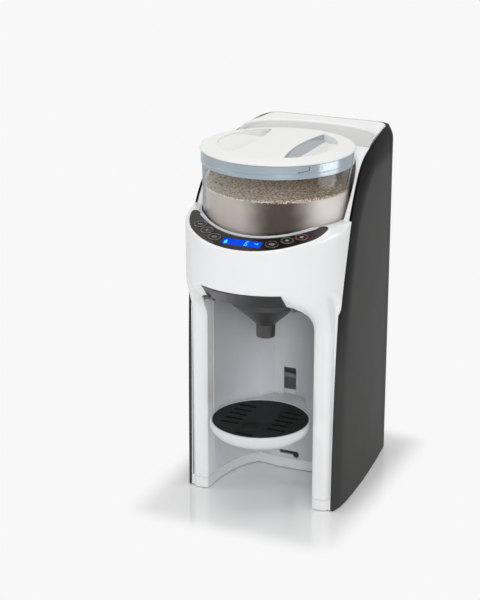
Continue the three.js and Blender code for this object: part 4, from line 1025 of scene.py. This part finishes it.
digit_six = [
    rectangle(-1.4, -0.9, -2.6, 2.6), rectangle(-1.4, 1.4, 2.2, 2.7), rectangle(-1.4, 1.4, -0.2, 0.3),
    rectangle(-1.4, 1.4, -2.7, -2.2), rectangle(0.9, 1.4, -2.6, 0.2)]
vessel_sign = [
    (-1.5, -2.7), (1.5, -2.7), (1.5, 0.4), (0.7, 1.2), (0.7, 2.2), (0.35, 2.9), (-0.35, 2.9), (-0.7, 2.2),
    (-0.7, 1.2), (-1.5, 0.4)]
level_sign = [rectangle(-2.2, 1.6, -0.35, 0.35), rectangle(0.9, 1.7, -1.1, 1.1)]
light_cyan = blank("display_cyan")
finish("display_cyan", Base_Color=(0.05, 0.5, 0.9, 1), Emission_Strength=1.0, Roughness=0.3,
    Emission_Color=light_cyan.noise(300).mix((0.03, 0.52, 1.0, 1), (0.06, 0.62, 1.0, 1)))
lcd_signs = [[(u - 16.4, v - 0.6) for u, v in vessel_sign]]
lcd_signs += [[(u + 5, v - 0.9) for u, v in stroke] for stroke in digit_six]
lcd_signs += [rectangle(3.8, 6.4, 3.2, 3.7)]
lcd_signs += [[(u + 15, v + 1.2) for u, v in stroke] for stroke in level_sign]
printed(lcd_signs, 0, lcd_y, -0.29, -0.16, "display_signs", "housing", "display_blue", "display_cyan")

moulded("button_gloss", (0.02, 0.0165, 0.0145), 0.22, grain=0.000008, drift=0.15)
moulded("silver_ring", (0.36, 0.36, 0.37), 0.28, drift=0.06, Metallic=0.9)
moulded("sign_white", (0.42, 0.42, 0.42), 0.5)
moulded("ring_green", (0.075, 0.16, 0.03), 0.4)
moulded("ring_red", (0.42, 0.02, 0.025), 0.4)
signs = {
    "left_1": [rectangle(-2.4, 2.4, 0.5, 1.1), rectangle(-2.4, 2.4, -1.0, -0.4)],
    "left_2": [rectangle(-2.2, 2.2, -0.3, 0.3), rectangle(-0.35, 0.35, 0.3, 1.9),
               rectangle(-0.35, 0.35, -1.9, -0.3)],
    "left_3": [rectangle(-2.6, 2.6, -0.35, 0.35)],
    "right_1": [rectangle(-2.8, 2.8, 0.9, 1.4), rectangle(-2.8, 2.8, -0.25, 0.25),
                rectangle(-2.8, 2.8, -1.4, -0.9)],
    "right_2": [[(-1.5, -1.7), (2.1, 0), (-1.5, 1.7)]],
    "right_3": [rectangle(-1.6, 1.6, -1.4, 1.4)],
}
ring_tones = {"right_2": "ring_green", "right_3": "ring_red"}
cap_profile = [
    (1, -2.7), (1, 0.12), (0.985, 0.3), (0.95, 0.43), (0.89, 0.5), (0.8, 0.5), (0.7, 0.42), (0.4, 0.36)]


def oval_band(outer, inner, low, high, x, y, turns=56):
    """An oval ring lying on the sloping panel."""
    rings = []
    for i in range(turns):
        t = 2 * pi * i / turns
        section = []
        for share, rise in ((outer, low), (outer - 0.02, high), (inner + 0.02, high), (inner, low)):
            v = y + share * button_short * sin(t)
            section.append((x + share * button_long * cos(t), v, panel_z(v) + rise))
        rings.append(section)
    return skin(rings, closed=True)


for side, side_name in ((-1, "left"), (1, "right")):
    for number, (x, y) in enumerate(button_spots, 1):
        tag = f"{side_name}_{number}"
        key = f"button_{tag}_key"
        rings = []
        for share, rise in cap_profile:
            outline = oval(share * button_long, share * button_short, side * x, y, 56)
            rings.append([(u, v, panel_z(v) + rise) for u, v in outline])
        stem = bounded(post(1.6, 240, 340, side * x, y, 24), tilted(-7.1, -panel_thick - 0.5))
        cap = joined(skin(rings), stem)
        dressed(cap, f"button_{tag}_cap", key, "button_dark", "button_gloss", f"button_{tag}")
        ring = oval_band(0.97, 0.86, 0.44, 0.56, side * x, y)
        dressed(ring, f"button_{tag}_ring", key, "silver_band", "silver_ring")
        if tag in ring_tones:
            inner_ring = oval_band(0.84, 0.72, 0.4, 0.53, side * x, y)
            dressed(inner_ring, f"button_{tag}_inner_ring", key, "button_dark", ring_tones[tag])
        printed(signs[tag], side * x, y, 0.3, 0.46, f"button_{tag}_sign", key, "white_inner", "sign_white")

board = blank("board_green")
finish("board_green", Roughness=0.45, Base_Color=board.noise(900, 3).between(0.45, 0.6).mix(
    (0.012, 0.09, 0.04, 1), (0.02, 0.14, 0.06, 1)))
for name in ("switch_board", "main_board", "power_board"):
    carried(name, "housing", "circuit_board", "board_green", edge=0.1)


# The container's seat, a white bowl in the head, and under it the drive: a motor on its
# bracket, a pinion, the large gear and the square-headed shaft in its bearing.
seat_outer = well_radius - fit
seat_wall = 1.6
shaft_radius = 7.4
outlet_y = -38
outlet_radius = 8
seat_inner = seat_outer - seat_wall
seat = turned([
    (0, seat_floor), (seat_outer, seat_floor), (seat_outer, deck_z + 0.6), (seat_inner, deck_z + 0.6),
    (seat_inner, seat_floor + wall + 2), (seat_inner - 0.6, seat_floor + wall + 0.6),
    (seat_inner - 2, seat_floor + wall), (0, seat_floor + wall)], steps=160)
bounded(seat, drawn_x(crown(1.2)))
cut(seat,
    post(shaft_radius + fit, 200, 420, steps=48), post(outlet_radius + 4, 200, 420, 0, outlet_y, 48))
dressed(seat, "container_seat_bowl", "housing", "white_inner", "satin_white", "container_seat")
moulded("gear_ivory", (0.66, 0.62, 0.52), 0.42)
moulded("brushed_steel", (0.5, 0.51, 0.53), 0.34, drift=0.1, Metallic=1.0)
moulded("bronze", (0.42, 0.28, 0.1), 0.4, drift=0.1, Metallic=1.0)
for node, body, slot, material in (
        ("drive_gear", "drive", "gear_plastic", "gear_ivory"),
        ("drive_shaft", "drive", "steel_part", "brushed_steel"),
        ("motor_pinion", "pinion", "gear_plastic", "gear_ivory"),
        ("gear_motor", "housing", "steel_part", "brushed_steel"),
        ("gear_bracket", "housing", "steel_part", "brushed_steel"),
        ("shaft_bearing", "housing", "bronze_bush", "bronze")):
    carried(node, body, slot, material, edge=0.15)


# The powder container: a clear tumbler with a silver-blue band round its rim, on a plain
# base with the outlet. A red dosing wheel and a three-armed stirrer turn inside it.
pod_low, pod_high = measured("powder_container")
pod_radius = pod_high.x
pod_bottom = pod_low.z
pod_top = pod_high.z
pod_foot = 74.6
pod_wall = 1.7
hub_hole = 7.5
pod = turned(eased([
    (hub_hole, pod_bottom, 0), (pod_foot, pod_bottom, 5), (pod_radius, pod_top, 0.4),
    (pod_radius - pod_wall, pod_top, 0.4), (pod_foot - pod_wall, pod_bottom + pod_wall, 5),
    (hub_hole, pod_bottom + pod_wall, 0)], steps=8), steps=192)
cut(pod, post(outlet_radius + 2, 200, 300, 0, -outlet_y, 48))
clear = blank("clear_wall")
slant = clear.node("ShaderNodeLayerWeight", None, {"Blend": 0.5}, 1)
edge = slant.between(0.66, 0.9)
mirror = clear.sum("POWER", slant, 4.0) * 0.7
finish("clear_wall", Metallic=1.0, Roughness=0.04 + 0.02 * clear.noise(40),
    Base_Color=edge.mix((0.9, 0.91, 0.92, 1), (0.03, 0.024, 0.02, 1)), Alpha=mirror + edge * 0.75 + 0.02)
dressed(pod, "container_tumbler", "container", "clear_plastic", "clear_wall", "powder_container")

band_low, band_high = measured("container_band")
band_radius = band_high.x
band_bottom = band_low.z
band_top = band_high.z
band_inner = band_radius - 1.6
band = turned(eased([
    (band_inner, band_bottom, 0.2), (band_radius - 0.1, band_bottom, 0.5),
    (band_radius, band_bottom + 4.4, 0), (band_radius - 0.25, band_bottom + 4.7, 0),
    (band_radius - 0.25, band_bottom + 5.1, 0), (band_radius, band_bottom + 5.4, 0),
    (band_radius, band_top, 0.5), (band_inner, band_top, 0.2)], steps=3), steps=192)
moulded("silver_blue", (0.36, 0.43, 0.48), 0.2, grain=0.000006, drift=0.05, Metallic=0.35, Coat_Weight=0.5,
    Coat_Roughness=0.05)
dressed(band, "container_band_ring", "container", "silver_band", "silver_blue", "container_band")


def on_band(turn_from, turn_to, z_from, z_to, width):
    """A thin strip round the band's face between two angles, in degrees."""
    steps = max(2, int(abs(turn_to - turn_from)))
    deep = band_radius - 0.2
    proud = band_radius + 0.06
    rings = []
    for i in range(steps + 1):
        t = radians(turn_from + (turn_to - turn_from) * i / steps)
        z = z_from + (z_to - z_from) * i / steps
        section = ((deep, -width), (proud, -width), (proud, width), (deep, width))
        rings.append([(r * cos(t), r * sin(t), z + rise) for r, rise in section])
    return skin(rings)


# Painted shade: a near-black strip on the band where the bayonet lock's slot is.
lock_slot_strip = on_band(-51.5, -43.6, 361.6, 363.2, 0.3)
joined(lock_slot_strip, on_band(-43.9, -43.3, 364.9, 364.9, 1.9), on_band(-52.2, -51, 361.8, 361.8, 0.6))
moulded("lock_slot_shade_black", (0.03, 0.033, 0.036), 0.5)
dressed(lock_slot_strip, "band_lock_slot_shade", "container", "silver_band", "lock_slot_shade_black")
for number, turn in enumerate((-39.6, -36.9, -33.2)):
    notch = on_band(turn - 0.12, turn + 0.12, 364.4, 364.4, 2.2)
    dressed(notch, f"band_tick_{number + 1}", "container", "silver_band", "silver_ring")
moulded("natural_moulding", (0.62, 0.61, 0.56), 0.42)
moulded("dosing_red", (0.5, 0.085, 0.05), 0.42)
carried("container_base", "container", "natural_plastic", "natural_moulding")
carried("dosing_wheel", "dosing", "red_plastic", "dosing_red")
carried("stirrer", "dosing", "natural_plastic", "natural_moulding")


# The powder fills the tumbler to two thirds: smooth and cream where it packs against the
# wall, with browner patches and a lighter cream on one side as painted light, and loose brown and cream
# grains on top.
powder_low, powder_high = measured("powder_fill")
powder_top = powder_high.z
powder_foot = powder_low.z
powder_gap = 0.75
inner_radius = pod_radius - pod_wall - powder_gap
rng = random.Random(7)
grains = 150
bands = 44
wave_ranges = ((2, 5), (0, 6.28), (0.02, 0.07), (0, 6.28))
waves = [[rng.uniform(*ends) for ends in wave_ranges] for _ in range(5)]
spokes = [2 * pi * i / grains for i in range(grains)]
powder_rings = []
for row in range(bands + 1):
    radius = inner_radius * (max(row, 0.2) / bands) ** 0.8
    ring = []
    for t in spokes:
        swell = sum(sin(round(a) * t + b) * sin(c * radius + d) for a, b, c, d in waves) * 0.28
        z = powder_top - 1.1 + min(1.0, swell) + rng.uniform(-0.25, 0.25)
        if row == bands:
            z = powder_top - 1.5 + 1.1 * sin(2 * t + 0.6) + rng.uniform(-0.6, 0.6)
        ring.append((radius * cos(t), radius * sin(t), min(z, powder_top)))
    powder_rings.append(ring)
for radius, share in (
        (inner_radius - 0.25, 0.35), (inner_radius - 0.6, 0.7), (pod_foot - pod_wall - 1, 0.93),
        (pod_foot - pod_wall - 4, 1)):
    z = powder_top - 2.5 + (powder_foot - powder_top + 2.5) * share
    powder_rings.append([(radius * cos(t), radius * sin(t), z) for t in spokes])
powder = skin(powder_rings)
loose = blank("powder_grains")
brown = (0.05, 0.027, 0.013, 1)
pink_cream = (0.58, 0.52, 0.47, 1)
lit_cream = (0.93, 0.87, 0.84, 1)
lumps = loose.noise(560, 1)
rim_height = (loose.axis(2) + lumps * 0.004 - 0.002).between((powder_top - 4) / 1000, (powder_top - 2) / 1000)
across = loose.axis(0)
deep = loose.axis(1) - axis_y
outward = across.reach(deep).between(0.9 * pod_foot / 1000, pod_foot / 1000)
speck = (lumps - across * 0.9 - deep * 0.9 + outward * 0.008).between(0.46, 0.57)
top_tone = speck.mix(
    loose.noise(900, 2).mix((0.24, 0.15, 0.06, 1), (0.46, 0.32, 0.16, 1)),
    loose.noise(900, 2).mix((0.62, 0.54, 0.46, 1), (0.92, 0.85, 0.77, 1)))
azimuth = loose.sum("ARCTAN2", deep, across)
wobble = loose.noise(55, 2) - 0.5
patch = 1 - (loose.sum("ABSOLUTE", azimuth + 1.14) + wobble * 0.16).between(0.1, 0.6)
second = 1 - (loose.sum("ABSOLUTE", azimuth - 2.1) + wobble * 0.3).between(0.1, 0.6)
# Painted light: the side is a lighter cream from the right round the back.
cream = azimuth.between(-1.0, -0.35).mix(pink_cream, lit_cream)
side_tone = (patch + second * 0.7).mix(cream, brown)
dusted = loose.node("ShaderNodeMix", {"data_type": "RGBA", "blend_type": "MULTIPLY"}, {
    "Factor": 1.0, "A": side_tone, "B": loose.noise(2400, 2).mix((0.94, 0.94, 0.94, 1), (1, 1, 1, 1))}, 2)
grain_bump = loose.node("ShaderNodeBump", None, {
    "Strength": 0.6, "Distance": 0.0009, "Height": lumps * rim_height})
finish("powder_grains", Base_Color=rim_height.mix(dusted, top_tone), Roughness=0.9 - 0.1 * speck,
    Normal=grain_bump)
dressed(powder, "formula_powder", "container", "milk_powder", "powder_grains", "powder_fill", smooth=80,
    even=False)


# The twist lid, a crowned disc of satin warm white with two finger scoops beside a grip
# bar, and the soft ring that seals it. A skirt holds it inside the band. The scoops' steep
# walls carry painted shade, a blue-grey.
lid_radius = measured("lid")[1].x
lid_crown = measured("lid")[1].z
lid_edge = lid_crown - 3
skirt = band_inner - 2.2
grip_half = 28.8
scoop_radius = 60
scoop_floor = lid_crown - 8
lid_under = lid_edge - 2.4
lid_top = [
    (lid_radius - 0.2, lid_edge - 0.35), (lid_radius - 0.6, lid_edge - 0.1),
    (lid_radius - 1.3, lid_edge + 0.1)]
lid_top += bend(lid_top[-1], (lid_radius - 6, lid_edge + 0.9), (lid_radius - 12, lid_crown - 0.8),
    (lid_radius - 18, lid_crown - 0.5), 8)
lid_top += bend(lid_top[-1], (lid_radius - 32, lid_crown - 0.1), (20, lid_crown), (0, lid_crown), 10)
lid = turned([
    (0, lid_under), (skirt - 2, lid_under), (skirt - 2, band_bottom + 5), (skirt, band_bottom + 5),
    (skirt, band_top + fit), (lid_radius - 0.6, band_top + fit), (lid_radius - 0.15, band_top + 0.5),
    (lid_radius, band_top + 0.9), (lid_radius, lid_edge - 0.8), *lid_top], steps=192)


def scoop(side, inset, floor):
    """A finger scoop: a steep bowed wall at the grip bar, and a floor that ramps outward."""
    radius = scoop_radius - inset
    edge = grip_half + inset
    reach = acos(edge / radius)
    outline = arc(radius, radius, -reach, reach, 48)
    corner = outline[-1]
    for i in range(1, 16):
        t = 1 - 2 * i / 16
        outline.append((edge - 6 * (1 - t * t), corner[1] * t))
    slope = [(edge - 7, lid_crown), (edge + 2, floor), (edge + 7, floor)]
    slope += bend(slope[-1], (edge + 14, floor + 1), (scoop_radius - 8, lid_crown - 3),
        (scoop_radius + 1, lid_crown - 0.4 + inset * 0.2), 12)
    slope += [(scoop_radius + 4, lid_crown + 9), (edge - 7, lid_crown + 9)]
    return bounded(
        raised([(side * x, y) for x, y in outline], 330, 400),
        drawn_y([(side * x, z) for x, z in slope], -90, 90))


for side in (-1, 1):
    joined(lid, bounded(scoop(side, -2.2, scoop_floor - 2.4), post(skirt - 1, 340, lid_edge, steps=128)))
for side in (-1, 1):
    cut(lid, scoop(side, 0, scoop_floor))
lid_paint = moulded("warm_white_scoop_shade", (0.86, 0.862, 0.855), 0.34, edge=0.0012)
lid_across = lid_paint.axis(0)
# Painted shade: inside the rim, the scoops' steep walls that face away from the lid's middle are mixed toward
# blue-grey.
scoop_wall_shade = lid_paint.node("ShaderNodeSeparateXYZ", None, {0: lid_paint.node("ShaderNodeTexCoord", out=1)}, 0)
scoop_wall_shade = (scoop_wall_shade * lid_paint.sum("SIGN", lid_across)).between(0.25, 0.6)
lid_deep = lid_paint.axis(1) - axis_y
inside_rim = 1 - lid_across.reach(lid_deep).between(0.058, 0.064)
finish("warm_white_scoop_shade", Base_Color=(scoop_wall_shade * inside_rim * 0.85).mix(
    lid_paint.noise(26, 3).mix((0.835, 0.836, 0.825, 1), (0.855, 0.856, 0.845, 1)), (0.33, 0.36, 0.39, 1)))
dressed(lid, "twist_lid_disc", "twist_lid", "lid_white", "warm_white_scoop_shade", "lid")
moulded("seal_soft", (0.24, 0.26, 0.28), 0.7)
carried("lid_seal", "lid_ring", "seal_grey", "seal_soft")


# The funnel's housing, a white pocket in the head, painted dark grey as painted shade, with
# two rails that the funnel's tub slides on. Its flat underside closes the top of the bay behind the funnel.
ceiling_z = pocket_top + fit
tub_back = 14
tub_floor = 219.4
pocket_wall = 2.4
rail_reach = 6.5
nozzle_spot = (-24, -48)
plate_half = 57
plate_front = -58
pocket_front = -70
pocket = joined(
    box(-plate_half, plate_half, plate_front, bay_back_y - 10, soffit_z, soffit_z + pocket_wall),
    box(-pocket_half - pocket_wall, pocket_half + pocket_wall, pocket_front, tub_back + 2 + pocket_wall,
        soffit_z, ceiling_z + pocket_wall))
cut(pocket,
    box(-pocket_half, pocket_half, -140, tub_back + 2, 0, ceiling_z),
    post(outlet_radius + 4.5, 200, 300, 0, outlet_y, 48), post(3, 200, 300, *nozzle_spot, 32))
bounded(pocket, hollow(fit))
for side in (-1, 1):
    near = min(side * (pocket_half - rail_reach), side * (pocket_half + pocket_wall))
    rail_top = tub_floor - fit
    joined(pocket, box(near, near + rail_reach + pocket_wall, -50, -4, rail_top - pocket_wall, rail_top))
# Painted shade: the pocket's white is given a dark grey.
moulded("pocket_painted_shade", (0.15, 0.155, 0.163), 0.5)
dressed(pocket, "funnel_pocket", "housing", "white_inner", "pocket_painted_shade", "funnel_housing")


# The funnel, one smoky moulding that slides in from the front: a slanted fascia in the
# head's face, an open tub, and a cone down to the spout. A domed cover lies in the tub.
spout_y = -27.6
spout_radius = 9.6
spout_tip = funnel_low.z
funnel_wall = 2
cone_top = 35.8
cone_top_z = 214.4
wing_low = funnel_top - 17.5
wing_back = 19.2


def face_line(shift, steps=40):
    """The head's front face across the funnel's width, moved back by an amount."""
    line = []
    for i in range(steps + 1):
        x = -funnel_half + 2 * funnel_half * i / steps
        line.append((x, face_y - sqrt(face_radius ** 2 - x * x) + shift))
    return line


fascia_rings = []
for share in (0, 0.02, 0.5, 0.98, 1):
    shift = wing_back * (1 - share)
    soft = 0.35 if share in (0, 1) else 0
    front = face_line(shift + soft)
    behind = [(x, y + funnel_wall + 0.8 - 2 * soft) for x, y in reversed(front)]
    fascia_rings.append([(x, y, wing_low + (funnel_top - wing_low) * share) for x, y in front + behind])


def tub_outline(inset):
    """The tub from above: round at the back, a little flatter at the front."""
    half = funnel_half - inset
    middle_y = tub_back - funnel_half
    return arc(half, half, 0, pi, 48, 0, middle_y) + arc(half, half - 2, pi, 2 * pi, 48, 0, middle_y)[1:-1]


tub = cut(
    raised(tub_outline(0), tub_floor, funnel_top),
    raised(tub_outline(funnel_wall), tub_floor + 2.2, funnel_top + 10))
cheek = [(-76, wing_low), (-30, wing_low), (-30, funnel_top), (-90, funnel_top)]
apron = cut(
    raised(face_line(wing_back + 1) + [(funnel_half, -30), (-funnel_half, -30)],
        wing_low, wing_low + funnel_wall),
    raised(tub_outline(0.5), wing_low - 5, wing_low + 9))
cone = turned([
    (0, spout_tip), (spout_radius - 0.5, spout_tip), (spout_radius, spout_tip + 0.5),
    (spout_radius + 0.4, 190), (spout_radius + 1.6, 192.2), (cone_top, cone_top_z),
    (cone_top, tub_floor + 0.1), (0, tub_floor + 0.1)], 0, spout_y, 96)
bore_top = cone_top - funnel_wall - 0.6
bore = turned([
    (0, spout_tip - 5), (spout_radius - funnel_wall, spout_tip - 5),
    (spout_radius + 0.4 - funnel_wall, 190.6), (bore_top, cone_top_z + 1), (bore_top, tub_floor + 6),
    (0, tub_floor + 6)], 0, spout_y, 96)
funnel = joined(
    tub, skin(fascia_rings), drawn_x(cheek, -funnel_half, funnel_wall - funnel_half),
    drawn_x(cheek, funnel_half - funnel_wall, funnel_half), apron, cone)
cut(funnel, bore)
clear_plastic("smoky_funnel", (0.052, 0.052, 0.053, 1), (0.028, 0.028, 0.028, 1), 0.88, roughness=0.36,
    coat=0.15)
dressed(funnel, "funnel_moulding", "funnel_drawer", "smoke_clear", "smoky_funnel", "funnel")

cover_low, cover_high = measured("funnel_cover")
cover_z = cover_low.z
cover_radius = cover_high.x
cover_top = cover_high.z
cover_wall = 1.8
tower_foot = 25
cover = joined(
    turned([
        (0, cover_z), (cover_radius - 1.2, cover_z), (cover_radius, cover_z + 1.2),
        (cover_radius, cover_z + 11.4), (cover_radius - 0.4, cover_z + 11.8),
        (cover_radius - cover_wall, cover_z + 11.8), (cover_radius - cover_wall, cover_z + cover_wall),
        (0, cover_z + cover_wall)], 0, spout_y, 96),
    turned([
        (0, cover_z), (tower_foot, cover_z), (tower_foot - 1.8, cover_top - 2),
        (tower_foot - 2.6, cover_top - 0.6), (tower_foot - 4, cover_top), (0, cover_top)], 0, outlet_y, 96))
cut(cover,
    turned([
        (0, cover_z - 2), (tower_foot - cover_wall, cover_z - 2),
        (tower_foot - 3.8, cover_top - cover_wall - 1), (tower_foot - 5, cover_top - cover_wall),
        (0, cover_top - cover_wall)], 0, outlet_y, 96),
    post(15, 200, 300, 0, outlet_y, 64))
dressed(cover, "funnel_cover_dome", "funnel_drawer", "smoke_clear", "smoky_funnel", "funnel_cover")


# The drip tray: a shallow gloss white dish on a bracket that hooks into the bay's back
# wall, with a matt black grate that lifts out for rinsing. The dish's white is painted darker as painted
# shade.
dish_low, dish_high = measured("tray_dish")
tray_radius = dish_high.x
tray_y = dish_high.y - tray_radius
tray_top = dish_high.z
tray_low = dish_low.z
tray_inner = tray_radius - 2.2
grate_low, grate_high = measured("drip_grate")
grate_top = grate_high.z
grate_under = grate_low.z
shelf = grate_under - fit
dish_outside = [(0, tray_low)]
dish_outside += bend(dish_outside[0], (20, tray_low), (tray_radius * 0.6, tray_low),
    (tray_radius * 0.78, tray_low + 0.9), 8)
dish_outside += bend(dish_outside[-1], (tray_radius * 0.9, tray_low + 2), (tray_radius, tray_top - 9.4),
    (tray_radius, tray_top - 5), 10)
dish = turned([
    *dish_outside, (tray_radius, tray_top - 1), (tray_radius - 0.25, tray_top - 0.35),
    (tray_radius - 0.8, tray_top), (tray_inner + 0.3, tray_top), (tray_inner, tray_top - 0.3),
    (tray_inner, shelf), (tray_inner - 2, shelf),
    (tray_inner - 3, tray_top - 7), (tray_radius * 0.7, tray_low + 2.6), (0, tray_low + 2.2)], 0, tray_y, 192)
# Painted shade: the dish's white is darker and bluer than the housing's, for the shade in the bay.
moulded("tray_white_painted_shade", (0.72, 0.735, 0.75), 0.26, Coat_Weight=0.2)
dressed(dish, "tray_dish_white", "tray", "white_shell", "tray_white_painted_shade", "tray_dish")

grate_radius = tray_inner - 0.5
grate = turned([
    (0, grate_under), (grate_radius, grate_under), (grate_radius, grate_top - 0.5),
    (grate_radius - 0.2, grate_top - 0.12), (grate_radius - 0.6, grate_top), (0, grate_top)], 0, tray_y, 160)
slot_wide = 4
slot_pitch = 11.4
slots = [(-10, 10, tray_y - tray_radius + 7.3)]
for row in range(5):
    y = tray_y - 22.5 + slot_pitch * row
    slots += [(-35.8, -15.5, y), (15.5, 35.8, y)]
for left, right, y in slots:
    cut(grate, raised(eased(rectangle(left, right, y, y + slot_wide), 1.9), 0, 200))
ball = 28.6
ball_y = tray_y - 21
ball_z = grate_top + 26.4
dimple = []
for i in range(1, 16):
    t = pi * i / 16
    reach = ball * sin(t)
    dimple.append([(x, y, ball_z - ball * cos(t)) for x, y in oval(reach, reach, 0, ball_y)])
cut(grate, skin(dimple))
moulded("matt_black", (0.009, 0.0098, 0.0095), 0.55, grain=0.00006, grain_scale=2200, drift=0.1,
    Specular_IOR_Level=0.2)
dressed(grate, "drip_grate_disc", "grate", "grate_black", "matt_black", "drip_grate")

stem_y = bay_back_y - bay_bow / 2
hook_half = 15
collar_radius = tray_radius + fit
collar = arc(collar_radius, collar_radius, 0.22 * pi, 0.78 * pi, 24, 0, tray_y)
bracket = cut(
    raised(collar + [(-hook_half, stem_y - 5), (hook_half, stem_y - 5)], tray_low + 5, tray_top - 1),
    post(collar_radius, 0, 200, 0, tray_y, 192))
slide_y = bay_back_y - bay_bow / 2 * (1 - (hook_half / bay_back_half) ** 2) + liner_wall + fit
joined(bracket,
    box(-slot_half + fit, slot_half - fit, stem_y - 8, stem_y + 5, tray_low + 5, tray_top - 3),
    box(-hook_half, hook_half, slide_y, slide_y + 2.4, tray_low + 2, tray_top + 2))
dressed(bracket, "tray_bracket_hook", "tray", "white_inner", "satin_white", "tray_bracket")


# The water path behind the bay: a black pump, a steel heater, clear hoses between them
# and the grey nozzle over the funnel. The solids already have their shapes.
moulded("pump_black", (0.035, 0.038, 0.042), 0.45)
hose = blank("hose_wall")
finish("hose_wall", Base_Color=hose.noise(80).mix((0.5, 0.53, 0.55, 1), (0.6, 0.63, 0.65, 1)), Roughness=0.3,
    Alpha=0.75 + 0.1 * hose.noise(60))
for node, slot, material in (
        ("water_pump", "pump_dark", "pump_black"), ("water_heater", "steel_part", "brushed_steel"),
        ("supply_hose", "hose_clear", "hose_wall"), ("pressure_hose", "hose_clear", "hose_wall"),
        ("hot_water_hose", "hose_clear", "hose_wall"), ("water_nozzle", "grey_plastic", "grey_moulding")):
    carried(node, "housing", slot, material, smooth=60 if "hose" in node else 38)
